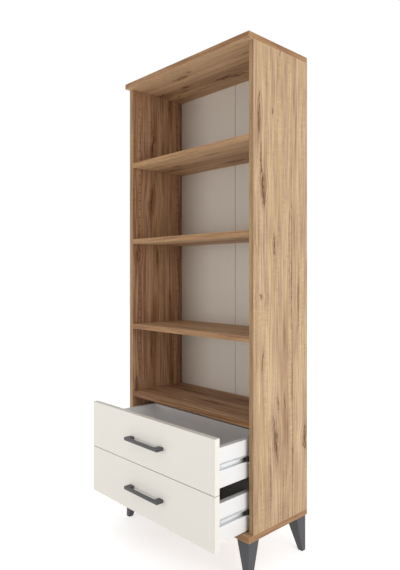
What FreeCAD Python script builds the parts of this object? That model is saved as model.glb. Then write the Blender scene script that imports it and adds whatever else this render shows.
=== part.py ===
import FreeCAD, Part
import math
import os

# A tall bookcase on four legs, with four open compartments above two drawers.
# Every length is in millimetres. Inside this file X runs across the bookcase from its middle,
# Y runs back from the front edges of the side panels and Z runs up from the underside of the
# base panel. The last step moves every piece into the frame of the part: its origin is the
# middle of its footprint, with the drawers pulled out as they rest, and the floor is Z = 0.

# Carcass
width = 620.0
side_depth = 270.0
side_height = 1477.0
board = 18.0
top_overhang = 21.0
edge_round = 0.8

# Back: two halves of thin board in one groove, with a fold line between them
back_board = 3.0
back_inset = 18.0
back_groove_depth = 8.0
back_play = 0.4
back_end_play = 1.0
back_seam_x = 6.0
back_seam_gap = 1.6
tape_width = 40.0
tape_thickness = 0.3

# Shelves on hidden pins, in rows of holes that run up both side panels
pin_pitch = 32.0
shelf_steps = (8, 18, 27)
hole_first_step = 2
hole_top_margin = 60.0
hole_inset = 34.0
hole_rear_margin = 16.0
hole_diameter = 5.0
hole_depth = 11.0
pin_diameter = 4.9
pin_length = 18.0
pin_seat_depth = 10.0
pin_rise = 6.5
pin_slot_play = 0.4
shelf_end_gap = 0.5
shelf_back_gap = 0.5

# Legs: square at the top and at the foot, with upright outer faces and slanting inner faces
leg_height = 117.0
leg_top_size = 48.0
leg_foot_size = 18.0
leg_inset = 3.5
leg_corner_round = 2.0
leg_plate_size = 38.0
leg_plate_thickness = 2.5
leg_pocket_depth = 5.2
leg_pocket_play = 0.5
leg_bolt_diameter = 8.0
leg_bolt_in_leg = 30.0
leg_bolt_in_base = 10.0
leg_screw_inset = 5.5

# Drawers
drawer_names = ("lower", "upper")
front_thickness = 18.0
front_height = 158.0
front_gap = 2.0
front_base_gap = 2.0
front_side_reveal = 1.0
front_edge_gap = 2.0
shelf_cover = 3.5
drawer_rear_gap = 6.0
drawer_box_height = 116.0
drawer_box_lift = 1.5
drawer_side_board = 16.0
drawer_bottom_board = 3.0
drawer_bottom_lift = 10.0
drawer_groove_depth = 8.0
drawer_bottom_play = 0.2
rest_opening = 141.0

# Handles
handle_length = 170.0
handle_pitch = 160.0
handle_height = 10.0
handle_projection = 26.0
handle_bar_depth = 8.0
handle_foot = 21.0
handle_edge_round = 0.8

# Ball runners, one pair for each drawer
runner_gap = 13.0
runner_height = 27.0
runner_front_inset = 2.0
runner_rear_inset = 4.0
runner_center_lift = 61.0
runner_sheet = 1.0
runner_lip = 9.4
runner_groove = 0.6
runner_stop_play = 0.5
ball_diameter = 4.0
ball_play = 0.1
ball_pitch = 11.0
balls_in_row = 5
ball_from_side = 6.6
slider_lip = 7.6
slider_rise = 8.9
cage_sheet = 0.6
cage_length = 58.0
cage_from_side = 3.0
cage_nose_length = 32.0
cage_nose_rise = 8.0
runner_screws_from_front = (30.0, 197.0)

# Fasteners
fastener_play = 0.05
screw_point_width = 0.4
dowel_diameter = 8.0
dowel_length = 30.0
dowel_in_face = 12.0
dowel_end_play = 0.5
dowel_inset = 88.0
confirmat_diameter = 7.0
confirmat_length = 50.0
confirmat_head_diameter = 10.0
confirmat_head_height = 3.5
confirmat_inset = 60.0
cap_diameter = 12.0
cap_thickness = 1.0
cam_diameter = 15.0
cam_depth = 12.5
cam_setback = 24.0
cam_driver_depth = 2.0
cam_inset = 62.0
cam_bore = 8.0
cam_bolt_diameter = 5.0
cam_bolt_in_face = 11.0
cam_bolt_neck_diameter = 4.0
cam_bolt_head_diameter = 7.0
cam_bolt_head_height = 3.0
shelf_dowel_inset = 100.0
small_screw_diameter = 3.5
small_screw_length = 14.0
small_screw_head_diameter = 6.6
small_screw_head_height = 1.5
box_screw_diameter = 5.0
box_screw_length = 45.0
box_screw_head_diameter = 8.0
box_screw_head_height = 3.0
box_screw_inset = 28.0
drawer_cam_inset = 30.0
handle_screw_diameter = 4.0
handle_screw_in_handle = 12.0
handle_screw_head_diameter = 8.0
handle_screw_head_height = 2.5
hole_end_play = 1.0

# Levels and planes that follow from the sizes above
half_width = width / 2
inner_x = half_width - board
side_bottom = board
side_top = side_bottom + side_height
back_front_y = side_depth - back_inset - back_board
shelf_depth = back_front_y - shelf_back_gap
front_width = width - 2 * front_side_reveal
front_bottom = {"lower": side_bottom + front_base_gap}
front_bottom["upper"] = front_bottom["lower"] + front_height + front_gap
fixed_shelf_bottom = front_bottom["upper"] + front_height - shelf_cover
pin_zero = fixed_shelf_bottom + pin_rise
pin_radius = pin_diameter / 2
box_x = inner_x - runner_gap
front_rear_y = -front_edge_gap
box_rear_y = back_front_y - drawer_rear_gap
ball_radius = ball_diameter / 2
track_radius = ball_radius + ball_play
ball_rise = runner_height / 2 - runner_sheet - track_radius
runner_lip_rise = runner_height / 2 - runner_sheet - runner_groove
slider_web = ball_rise - track_radius - runner_sheet
front_reach = rest_opening + front_edge_gap + front_thickness + handle_projection
carcass_front_y = (front_reach - side_depth) / 2

X_AXIS = FreeCAD.Vector(1, 0, 0)
Y_AXIS = FreeCAD.Vector(0, 1, 0)
Z_AXIS = FreeCAD.Vector(0, 0, 1)


def point(x, y, z):
    return FreeCAD.Vector(x, y, z)


def box(x_range, y_range, z_range):
    low = point(min(x_range), min(y_range), min(z_range))
    high = point(max(x_range), max(y_range), max(z_range))
    size = high - low
    return Part.makeBox(size.x, size.y, size.z, low)


def rod(diameter, start, direction, length):
    return Part.makeCylinder(diameter / 2, length, start, direction)


def cut_all(shape, tools):
    return shape.cut(Part.makeCompound(tools)) if tools else shape


def rounded(shape, radius, wanted):
    edges = [edge for edge in shape.Edges if wanted(edge.BoundBox.Center)]
    return shape.makeFillet(radius, edges) if radius > 0 else shape


def mirrored(shape):
    return shape.mirror(point(0, 0, 0), X_AXIS)


def both_sides(shapes):
    return shapes + [mirrored(shape) for shape in shapes]


def near(a, b):
    return abs(a - b) < 0.001


def screw(diameter, length, head_diameter, head_height, seat, direction):
    """A pan-head screw: its head stands on the seat and its shank runs along the direction.
    Its tip is as long as the shank is thick."""
    head = rod(head_diameter, seat - direction * head_height, direction, head_height)
    straight = length - diameter
    shank = rod(diameter, seat, direction, straight)
    tip_start = seat + direction * straight
    tip = Part.makeCone(diameter / 2, screw_point_width / 2, diameter, tip_start, direction)
    return head.fuse([shank, tip]).removeSplitter()


def screw_hole(diameter, length, seat, direction):
    return rod(diameter + 2 * fastener_play, seat, direction, length + hole_end_play)


def small_screw(place, direction):
    return screw(small_screw_diameter, small_screw_length, small_screw_head_diameter,
                 small_screw_head_height, place, direction)


def small_screw_holes(places):
    return [screw_hole(small_screw_diameter, small_screw_length, *place) for place in places]


# ---------------------------------------------------------------- fasteners of the carcass

def confirmat_places():
    """Where the top and base panels are screwed to the side panels, with the direction of each screw."""
    places = []
    for x in (-half_width + board / 2, half_width - board / 2):
        for y in (confirmat_inset, side_depth - confirmat_inset):
            places.append((point(x, y, side_top + board - cap_thickness), -Z_AXIS))
            places.append((point(x, y, 0), Z_AXIS))
    return places


def cap_places():
    """The caps cover the screws of the top panel and end flush with it."""
    return [place for place, direction in confirmat_places() if direction.z < 0]


def confirmat(place, direction):
    head = rod(confirmat_head_diameter, place, direction, confirmat_head_height)
    shank_length = confirmat_length - confirmat_head_height
    shank = rod(confirmat_diameter, place + direction * confirmat_head_height, direction, shank_length)
    return head.fuse(shank).removeSplitter()


def confirmat_hole(place, direction):
    head = rod(confirmat_head_diameter + 2 * fastener_play, place, direction, confirmat_head_height)
    shank = screw_hole(confirmat_diameter, confirmat_length, place, direction)
    return head.fuse(shank)


def end_dowel_places():
    """Dowels that stand across the joints between the side panels and the top and base panels."""
    places = []
    for x in (-half_width + board / 2, half_width - board / 2):
        for y in (dowel_inset, side_depth - dowel_inset):
            places.append((point(x, y, side_top), Z_AXIS))
            places.append((point(x, y, side_bottom), -Z_AXIS))
    return places


def shelf_dowel_places():
    """Dowels that lie across the joints between the fixed shelf and the side panels."""
    z = fixed_shelf_bottom + board / 2
    places = []
    for y in (shelf_dowel_inset, shelf_depth - shelf_dowel_inset):
        places.append((point(inner_x, y, z), X_AXIS))
        places.append((point(-inner_x, y, z), -X_AXIS))
    return places


def dowel(place, into_face):
    start = place - into_face * (dowel_length - dowel_in_face)
    return rod(dowel_diameter, start, into_face, dowel_length)


def dowel_hole(place, into_face):
    length = dowel_length + 2 * dowel_end_play
    start = place - into_face * (dowel_length - dowel_in_face + dowel_end_play)
    return rod(dowel_diameter + 2 * fastener_play, start, into_face, length)


def cam_bolt(place, into_face):
    """The bolt of a cam fitting: screwed into one board's face, its head inside the other's cam."""
    thread = rod(cam_bolt_diameter, place, into_face, cam_bolt_in_face)
    neck_length = cam_setback + cam_bolt_head_height / 2
    neck = rod(cam_bolt_neck_diameter, place, -into_face, neck_length)
    head_start = place - into_face * (neck_length - cam_bolt_head_height)
    head = rod(cam_bolt_head_diameter, head_start, -into_face, cam_bolt_head_height)
    return thread.fuse([neck, head]).removeSplitter()


def cam_bolt_hole(place, into_face):
    in_face = screw_hole(cam_bolt_diameter, cam_bolt_in_face, place, into_face)
    return in_face.fuse(rod(cam_bore, place, -into_face, cam_setback))


def cam_lock(place, into_face, open_side, to_face):
    """A cam in its round pocket, slotted for the head of its bolt."""
    seat = place - into_face * cam_setback + open_side * to_face
    body = rod(cam_diameter - 2 * fastener_play, seat, -open_side, cam_depth)
    slot_reach = cam_diameter / 2 + cam_bolt_head_height
    slot_start = place - into_face * (cam_setback + cam_bolt_head_height)
    slot = rod(cam_bore, slot_start, into_face, slot_reach)
    driver = rod(cam_bolt_head_diameter, seat, -open_side, cam_driver_depth)
    return body.cut(slot.fuse(driver))


def cam_pocket(place, into_face, open_side, to_face):
    seat = place - into_face * cam_setback + open_side * to_face
    return rod(cam_diameter, seat, -open_side, cam_depth)


def shelf_cam_places():
    """Cam fittings of the fixed shelf: bolts in the side panels, cams in the shelf's underside."""
    z = fixed_shelf_bottom + board / 2
    places = []
    for y in (cam_inset, shelf_depth - cam_inset):
        places.append((point(inner_x, y, z), X_AXIS, -Z_AXIS, board / 2))
        places.append((point(-inner_x, y, z), -X_AXIS, -Z_AXIS, board / 2))
    return places


# ---------------------------------------------------------------- carcass

def panel_joint_holes():
    holes = [confirmat_hole(*place) for place in confirmat_places()]
    holes += [rod(cap_diameter + 2 * fastener_play, place, Z_AXIS, cap_thickness) for place in cap_places()]
    holes += [dowel_hole(*place) for place in end_dowel_places()]
    holes += [dowel_hole(*place) for place in shelf_dowel_places()]
    holes += [cam_bolt_hole(place[0], place[1]) for place in shelf_cam_places()]
    return holes


def back_groove():
    reach_x = inner_x + back_groove_depth
    y_range = (back_front_y - back_play / 2, back_front_y + back_board + back_play / 2)
    return box((-reach_x, reach_x), y_range, (side_bottom - back_groove_depth, side_top + back_groove_depth))


def end_panel(z_bottom):
    """The top or the base panel, which covers the ends of the side panels."""
    panel = box((-half_width, half_width), (-top_overhang, side_depth), (z_bottom, z_bottom + board))
    return rounded(panel, edge_round, lambda c: near(c.y, -top_overhang) or near(abs(c.x), half_width))


def hole_levels():
    levels = []
    z = pin_zero + hole_first_step * pin_pitch
    while z < side_top - hole_top_margin:
        levels.append(z)
        z += pin_pitch
    return levels


def hole_rows():
    """The front row's place and the rear row's, a whole number of hole steps behind it."""
    steps = math.floor((back_front_y - hole_rear_margin - hole_inset) / pin_pitch)
    return hole_inset, hole_inset + steps * pin_pitch


def side_panel_right():
    panel = box((inner_x, half_width), (0, side_depth), (side_bottom, side_top))
    panel = rounded(panel, edge_round, lambda c: near(c.y, 0) and near(c.z, (side_bottom + side_top) / 2))
    holes = panel_joint_holes() + [back_groove()]
    for y in hole_rows():
        holes += [rod(hole_diameter, point(inner_x, y, z), X_AXIS, hole_depth) for z in hole_levels()]
    for name in drawer_names:
        holes += small_screw_holes(rail_screw_places(name))
    return cut_all(panel, holes)


def shelf_level(step):
    return fixed_shelf_bottom + step * pin_pitch


def shelf_blank(z_bottom, end_gap):
    reach = inner_x - end_gap
    blank = box((-reach, reach), (0, shelf_depth), (z_bottom, z_bottom + board))
    return rounded(blank, edge_round, lambda c: near(c.y, 0) and near(c.x, 0))


def pin_places(step):
    z = shelf_level(step) + pin_rise
    return [point(inner_x, y, z) for y in hole_rows()]


def shelf_pin(place):
    start = place + X_AXIS * pin_seat_depth
    return rod(pin_diameter, start, -X_AXIS, pin_length)


def loose_shelf(step):
    """A shelf that hangs on its pins: slots in its underside hide them from the front."""
    slots = []
    slot_depth = pin_length - pin_seat_depth + hole_end_play
    for place in pin_places(step):
        y_range = (place.y - pin_radius - pin_slot_play, place.y + pin_radius + pin_slot_play)
        slots.append(box((inner_x - slot_depth, inner_x), y_range, (shelf_level(step), place.z + pin_radius)))
    return cut_all(shelf_blank(shelf_level(step), shelf_end_gap), both_sides(slots))


def fixed_shelf():
    holes = [dowel_hole(*place) for place in shelf_dowel_places()]
    for place in shelf_cam_places():
        holes.append(cam_bolt_hole(place[0], place[1]))
        holes.append(cam_pocket(*place))
    return cut_all(shelf_blank(fixed_shelf_bottom, 0), holes)


def back_half(side):
    outer = side * (inner_x + back_groove_depth - back_end_play)
    seam = back_seam_x + side * back_seam_gap / 2
    z_range = (side_bottom - back_groove_depth, side_top + back_groove_depth - back_end_play)
    return box((seam, outer), (back_front_y, back_front_y + back_board), z_range)


def fold_tape():
    x_range = (back_seam_x - tape_width / 2, back_seam_x + tape_width / 2)
    y = back_front_y + back_board
    return box(x_range, (y, y + tape_thickness), (side_bottom, side_top))


# ---------------------------------------------------------------- legs

def leg_corners():
    """The outer corner of each leg, with the directions that point from it into the leg."""
    x = half_width - leg_inset
    front_y = leg_inset - top_overhang
    rear_y = side_depth - leg_inset
    return {"front_left": (-x, front_y, 1, 1), "front_right": (x, front_y, -1, 1),
            "rear_left": (-x, rear_y, 1, -1), "rear_right": (x, rear_y, -1, -1)}


def square_wire(corner, size, z):
    x, y, to_x, to_y = corner
    reach_x, reach_y = x + to_x * size, y + to_y * size
    points = [point(x, y, z), point(reach_x, y, z), point(reach_x, reach_y, z), point(x, reach_y, z)]
    return Part.makePolygon(points + points[:1])


def leg_center(corner):
    x, y, to_x, to_y = corner
    return x + to_x * leg_top_size / 2, y + to_y * leg_top_size / 2


def centered_square(corner, size, z_range):
    x, y = leg_center(corner)
    return box((x - size / 2, x + size / 2), (y - size / 2, y + size / 2), z_range)


def leg(corner):
    wires = [square_wire(corner, leg_foot_size, -leg_height), square_wire(corner, leg_top_size, 0)]
    body = Part.makeLoft(wires, True, True)
    body = rounded(body, leg_corner_round, lambda c: near(c.z, -leg_height / 2))
    pocket = centered_square(corner, leg_plate_size + 2 * leg_pocket_play, (-leg_pocket_depth, 0))
    x, y = leg_center(corner)
    bolt_depth = leg_pocket_depth + leg_bolt_in_leg
    bore = screw_hole(leg_bolt_diameter, bolt_depth, point(x, y, 0), -Z_AXIS)
    return body.cut(pocket.fuse(bore))


def leg_bolt(corner):
    x, y = leg_center(corner)
    length = leg_bolt_in_base + leg_pocket_depth + leg_bolt_in_leg
    return rod(leg_bolt_diameter, point(x, y, leg_bolt_in_base), -Z_AXIS, length)


def leg_bolt_hole(corner):
    x, y = leg_center(corner)
    return screw_hole(leg_bolt_diameter, leg_bolt_in_base, point(x, y, 0), Z_AXIS)


def leg_screw_places(corner):
    x, y = leg_center(corner)
    reach = leg_plate_size / 2 - leg_screw_inset
    return [point(x + a * reach, y + b * reach, -leg_plate_thickness) for a in (-1, 1) for b in (-1, 1)]


def leg_plate(corner):
    plate = centered_square(corner, leg_plate_size, (-leg_plate_thickness, 0))
    x, y = leg_center(corner)
    holes = [screw_hole(leg_bolt_diameter, leg_plate_thickness, point(x, y, -leg_plate_thickness), Z_AXIS)]
    for place in leg_screw_places(corner):
        holes.append(screw_hole(small_screw_diameter, leg_plate_thickness, place, Z_AXIS))
    return cut_all(plate, holes)


# ---------------------------------------------------------------- ball runners
# A runner is a fixed rail on the side panel, a slider on the drawer and a caged row of balls
# between them above and below. Its own pieces are drawn for the right side of the bookcase.

def box_bottom(name):
    return front_bottom[name] + drawer_box_lift


def runner_z(name):
    return box_bottom(name) + runner_center_lift


def runner_y_range():
    return runner_front_inset, box_rear_y - runner_rear_inset


def from_side(distance):
    """The X of a plane that lies this far from the right side panel's inner face."""
    return inner_x - distance


def ball_track(name, up, y_range):
    start = point(from_side(ball_from_side), y_range[0], runner_z(name) + up * ball_rise)
    return rod(2 * track_radius, start, Y_AXIS, y_range[1] - y_range[0])


def fixed_rail(name):
    """The rail: a sheet on the side panel with two grooved lips, closed at the rear by a stop."""
    z = runner_z(name)
    front, track_end = runner_y_range()
    track_end += runner_stop_play
    rear = track_end + runner_sheet
    whole_height = (z - runner_height / 2, z + runner_height / 2)
    across = (from_side(0), from_side(runner_lip))
    web = box((from_side(0), from_side(runner_sheet)), (front, rear), whole_height)
    pieces = [box(across, (track_end, rear), whole_height)]
    for up in (-1, 1):
        z_range = (z + up * runner_lip_rise, z + up * runner_height / 2)
        pieces.append(box(across, (front, rear), z_range))
    tracks = [ball_track(name, up, (front, track_end)) for up in (-1, 1)]
    return cut_all(web.fuse(pieces).removeSplitter(), tracks + small_screw_holes(rail_screw_places(name)))


def slider(name):
    z = runner_z(name)
    y_range = runner_y_range()
    back = runner_gap - runner_sheet
    web = box((from_side(back), from_side(runner_gap)), y_range, (z - slider_rise, z + slider_rise))
    lips = []
    for up in (-1, 1):
        z_range = (z + up * slider_web, z + up * slider_rise)
        lips.append(box((from_side(back - slider_lip), from_side(back)), y_range, z_range))
    profile = web.fuse(lips).removeSplitter()
    tracks = [ball_track(name, up, y_range) for up in (-1, 1)]
    return cut_all(profile, tracks + small_screw_holes(slider_screw_places(name)))


def cage_y_range():
    front, rear = runner_y_range()
    middle = (front + rear) / 2
    return middle - cage_length / 2, middle + cage_length / 2


def balls(name):
    middle = sum(cage_y_range()) / 2
    rows = []
    for up in (-1, 1):
        for count in range(balls_in_row):
            y = middle + (count - (balls_in_row - 1) / 2) * ball_pitch
            center = point(from_side(ball_from_side), y, runner_z(name) + up * ball_rise)
            rows.append(Part.makeSphere(ball_radius, center))
    return rows


def ball_cage(name):
    """A bent strip that keeps the balls apart: its two flanges run between rail and slider, and
    a narrower flat nose runs ahead of them."""
    z = runner_z(name)
    y_range = cage_y_range()
    rise = ball_rise + cage_sheet / 2
    across = (from_side(cage_from_side), from_side(cage_from_side + cage_sheet))
    web = box(across, y_range, (z - rise, z + rise))
    flanges = []
    for up in (-1, 1):
        z_range = (z + up * (rise - cage_sheet), z + up * rise)
        flanges.append(box((from_side(cage_from_side), from_side(runner_lip)), y_range, z_range))
    nose_end = y_range[0] - cage_nose_length
    nose = box(across, (nose_end, y_range[0]), (z - cage_nose_rise, z + cage_nose_rise))
    strip = web.fuse(flanges + [nose]).removeSplitter()
    pockets = []
    for ball in balls(name):
        center = ball.BoundBox.Center
        pockets.append(rod(2 * track_radius, center - Z_AXIS * cage_sheet, Z_AXIS, 2 * cage_sheet))
    return cut_all(strip, pockets)


def rail_screw_places(name):
    x = from_side(runner_sheet)
    return [(point(x, runner_front_inset + y, runner_z(name)), X_AXIS) for y in runner_screws_from_front]


def slider_screw_places(name):
    x = from_side(runner_gap - runner_sheet)
    return [(point(x, runner_front_inset + y, runner_z(name)), -X_AXIS) for y in runner_screws_from_front]


# ---------------------------------------------------------------- drawers, drawn pushed in

def drawer_cam_places(name):
    """Cam fittings of a drawer's right corner: bolts in the front, cams in the side's inner face."""
    x = box_x - drawer_side_board / 2
    low = box_bottom(name) + drawer_cam_inset
    high = box_bottom(name) + drawer_box_height - drawer_cam_inset
    return [(point(x, front_rear_y, z), -Y_AXIS, -X_AXIS, drawer_side_board / 2) for z in (low, high)]


def box_screw_places(name):
    """Screws through a drawer's right side into the end of its back."""
    y = box_rear_y - drawer_side_board / 2
    low = bottom_top_z(name) + box_screw_inset - drawer_bottom_lift
    high = box_bottom(name) + drawer_box_height - box_screw_inset
    return [(point(box_x - box_screw_head_height, y, z), -X_AXIS) for z in (low, high)]


def box_screw(place, direction):
    return screw(box_screw_diameter, box_screw_length, box_screw_head_diameter,
                 box_screw_head_height, place, direction)


def box_screw_hole(place, direction):
    shank = screw_hole(box_screw_diameter, box_screw_length, place, direction)
    head_diameter = box_screw_head_diameter + 2 * fastener_play
    return shank.fuse(rod(head_diameter, place, -direction, box_screw_head_height))


def bottom_top_z(name):
    return box_bottom(name) + drawer_bottom_lift + drawer_bottom_board


def bottom_groove(name):
    reach_x = box_x - drawer_side_board + drawer_groove_depth
    y_range = (front_rear_y - drawer_groove_depth, box_rear_y - drawer_side_board + drawer_groove_depth)
    z_top = bottom_top_z(name) + drawer_bottom_play
    return box((-reach_x, reach_x), y_range, (z_top - drawer_bottom_board - drawer_bottom_play, z_top))


def drawer_bottom(name):
    reach_x = box_x - drawer_side_board + drawer_groove_depth - back_end_play
    y_low = front_rear_y - drawer_groove_depth + back_end_play
    y_high = box_rear_y - drawer_side_board + drawer_groove_depth - back_end_play
    z_top = bottom_top_z(name)
    return box((-reach_x, reach_x), (y_low, y_high), (z_top - drawer_bottom_board, z_top))


def drawer_side(name):
    z = box_bottom(name)
    side = box((box_x - drawer_side_board, box_x), (front_rear_y, box_rear_y), (z, z + drawer_box_height))
    holes = [bottom_groove(name)]
    holes += [box_screw_hole(*place) for place in box_screw_places(name)]
    holes += small_screw_holes(slider_screw_places(name))
    for place in drawer_cam_places(name):
        holes.append(cam_bolt_hole(place[0], place[1]))
        holes.append(cam_pocket(*place))
    return cut_all(side, holes)


def drawer_back(name):
    reach = box_x - drawer_side_board
    z = box_bottom(name)
    y_range = (box_rear_y - drawer_side_board, box_rear_y)
    panel = box((-reach, reach), y_range, (z, z + drawer_box_height))
    holes = both_sides([box_screw_hole(*place) for place in box_screw_places(name)])
    return cut_all(panel, holes + [bottom_groove(name)])


def handle_z(name):
    return front_bottom[name] + front_height / 2


def handle_screw_places(name):
    y = front_rear_y
    return [(point(x, y, handle_z(name)), -Y_AXIS) for x in (-handle_pitch / 2, handle_pitch / 2)]


def handle_screw(place, direction):
    length = front_thickness + handle_screw_in_handle
    return screw(handle_screw_diameter, length, handle_screw_head_diameter,
                 handle_screw_head_height, place, direction)


def handle_screw_hole(place, direction):
    return screw_hole(handle_screw_diameter, front_thickness + handle_screw_in_handle, place, direction)


def drawer_front(name):
    z = front_bottom[name]
    front_y = front_rear_y - front_thickness
    reach = front_width / 2
    panel = box((-reach, reach), (front_y, front_rear_y), (z, z + front_height))
    panel = rounded(panel, edge_round, lambda c: near(c.y, front_y))
    cam_holes = [cam_bolt_hole(place[0], place[1]) for place in drawer_cam_places(name)]
    holes = both_sides(cam_holes) + [handle_screw_hole(*place) for place in handle_screw_places(name)]
    return cut_all(panel, holes + [bottom_groove(name)])


def handle(name):
    """A bow handle: a bar between two broad feet that stand on the drawer front."""
    base_y = front_rear_y - front_thickness
    bar_y = base_y - handle_projection
    half = handle_length / 2
    z_range = (handle_z(name) - handle_height / 2, handle_z(name) + handle_height / 2)
    block = box((-half, half), (bar_y, base_y), z_range)
    gap_x = half - handle_foot
    body = block.cut(box((-gap_x, gap_x), (bar_y + handle_bar_depth, base_y), z_range))
    body = rounded(body, handle_edge_round, lambda c: c.y < base_y - 0.001)
    return cut_all(body, [handle_screw_hole(*place) for place in handle_screw_places(name)])


# ---------------------------------------------------------------- the pieces, node by node

def carcass_nodes():
    corners = leg_corners()
    top = cut_all(end_panel(side_top), panel_joint_holes() + [back_groove()])
    base = cut_all(end_panel(0), panel_joint_holes() + [back_groove()])
    leg_screws = [(place, Z_AXIS) for corner in corners.values() for place in leg_screw_places(corner)]
    base_holes = [leg_bolt_hole(corner) for corner in corners.values()] + small_screw_holes(leg_screws)
    right = side_panel_right()
    caps = [rod(cap_diameter, place, Z_AXIS, cap_thickness) for place in cap_places()]
    rail_screws = [small_screw(*place) for name in drawer_names for place in rail_screw_places(name)]
    pins = [shelf_pin(place) for step in shelf_steps for place in pin_places(step)]
    nodes = {
        "top_panel": [top],
        "base_panel": [cut_all(base, base_holes)],
        "side_panel_left": [mirrored(right)],
        "side_panel_right": [right],
        "fixed_shelf": [fixed_shelf()],
        "shelf_lower": [loose_shelf(shelf_steps[0])],
        "shelf_middle": [loose_shelf(shelf_steps[1])],
        "shelf_upper": [loose_shelf(shelf_steps[2])],
        "back_panel_left": [back_half(-1)],
        "back_panel_right": [back_half(1)],
        "back_fold_tape": [fold_tape()],
        "leg_plates": [leg_plate(corner) for corner in corners.values()],
        "leg_bolts": [leg_bolt(corner) for corner in corners.values()],
        "leg_plate_screws": [small_screw(*place) for place in leg_screws],
        "shelf_pins": both_sides(pins),
        "carcass_screws": [confirmat(*place) for place in confirmat_places()],
        "screw_caps": caps,
        "dowels": [dowel(*place) for place in end_dowel_places() + shelf_dowel_places()],
        "shelf_cam_bolts": [cam_bolt(place[0], place[1]) for place in shelf_cam_places()],
        "shelf_cam_locks": [cam_lock(*place) for place in shelf_cam_places()],
        "rail_screws": both_sides(rail_screws),
    }
    for place, corner in corners.items():
        nodes["leg_" + place] = [leg(corner)]
    for name in drawer_names:
        rail = fixed_rail(name)
        nodes[name + "_rail_right"] = [rail]
        nodes[name + "_rail_left"] = [mirrored(rail)]
    return nodes


def cage_nodes(name):
    return {name + "_ball_cages": both_sides([ball_cage(name)]), name + "_balls": both_sides(balls(name))}


def drawer_nodes(name):
    prefix = name + "_drawer_"
    side = drawer_side(name)
    right_slider = slider(name)
    cam_places = drawer_cam_places(name)
    return {
        prefix + "front": [drawer_front(name)],
        prefix + "side_left": [mirrored(side)],
        prefix + "side_right": [side],
        prefix + "back": [drawer_back(name)],
        prefix + "bottom": [drawer_bottom(name)],
        prefix + "handle": [handle(name)],
        prefix + "handle_screws": [handle_screw(*place) for place in handle_screw_places(name)],
        prefix + "slider_left": [mirrored(right_slider)],
        prefix + "slider_right": [right_slider],
        prefix + "slider_screws": both_sides([small_screw(*place) for place in slider_screw_places(name)]),
        prefix + "cam_bolts": both_sides([cam_bolt(place[0], place[1]) for place in cam_places]),
        prefix + "cam_locks": both_sides([cam_lock(*place) for place in cam_places]),
        prefix + "box_screws": both_sides([box_screw(*place) for place in box_screw_places(name)]),
    }


def save(nodes, opening):
    """Write each node's solids to one file, with drawer pieces pulled out by the opening."""
    shift = point(0, carcass_front_y - opening, leg_height)
    for node, solids in nodes.items():
        shape = solids[0] if len(solids) == 1 else Part.makeCompound(solids)
        shape.translate(shift)
        shape.exportStep("parts/" + node + ".step")


os.makedirs("parts", exist_ok=True)
save(carcass_nodes(), 0)
for drawer in drawer_names:
    save(drawer_nodes(drawer), rest_opening)
    save(cage_nodes(drawer), rest_opening / 2)
print("carcass front edge at Y", round(carcass_front_y, 3))
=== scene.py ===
"""Finishes, runners and fasteners of a tall bookcase with two bottom drawers, and its studio stage.

Everything is in metres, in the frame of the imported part: X across, Y from front to back, Z up
from the floor. The drawers rest pulled out.
"""
import math
from functools import partial

import bmesh
import bpy
from bpy.props import FloatProperty, FloatVectorProperty, IntProperty, PointerProperty
from bpy.types import Node, NodeSocket, Operator, Panel, PropertyGroup
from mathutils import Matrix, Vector


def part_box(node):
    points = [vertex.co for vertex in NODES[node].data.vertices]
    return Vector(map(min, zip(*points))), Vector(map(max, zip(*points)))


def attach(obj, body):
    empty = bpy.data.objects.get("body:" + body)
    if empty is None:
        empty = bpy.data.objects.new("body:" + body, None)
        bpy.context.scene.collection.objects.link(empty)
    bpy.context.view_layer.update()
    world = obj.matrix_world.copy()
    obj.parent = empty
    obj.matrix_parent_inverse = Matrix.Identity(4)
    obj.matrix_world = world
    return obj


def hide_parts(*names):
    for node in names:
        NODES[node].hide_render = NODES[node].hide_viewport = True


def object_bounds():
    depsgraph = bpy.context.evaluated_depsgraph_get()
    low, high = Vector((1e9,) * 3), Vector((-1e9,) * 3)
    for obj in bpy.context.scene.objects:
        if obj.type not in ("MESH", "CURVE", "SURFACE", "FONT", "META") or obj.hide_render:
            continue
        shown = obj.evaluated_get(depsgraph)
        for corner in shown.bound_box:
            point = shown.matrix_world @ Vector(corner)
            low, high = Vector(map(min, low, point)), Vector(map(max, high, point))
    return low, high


bl_info = {
    "name": "Bookcase with Bottom Drawers",
    "version": (1, 0, 0),
    "blender": (4, 5, 0),
    "location": "3D View > Sidebar > Bookcase",
    "description": "Makes the finishes, runners, handles and fasteners of a bookcase with two drawers",
    "category": "Object",
}

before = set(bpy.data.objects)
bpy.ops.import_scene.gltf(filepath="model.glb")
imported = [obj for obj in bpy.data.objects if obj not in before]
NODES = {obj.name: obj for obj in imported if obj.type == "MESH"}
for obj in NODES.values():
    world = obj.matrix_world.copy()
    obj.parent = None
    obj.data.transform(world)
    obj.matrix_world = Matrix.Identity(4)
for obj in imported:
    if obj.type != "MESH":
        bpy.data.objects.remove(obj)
CAD_BOX = [list(corner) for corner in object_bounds()]

MM = 0.001
WHITE = (1.0, 1.0, 1.0)
DRAWERS = ("lower", "upper")
SIDES = {"left": -1, "right": 1}
WIDTH = CAD_BOX[1][0] - CAD_BOX[0][0]
BOARD = CAD_BOX[1][2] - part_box("top_panel")[0].z

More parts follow.
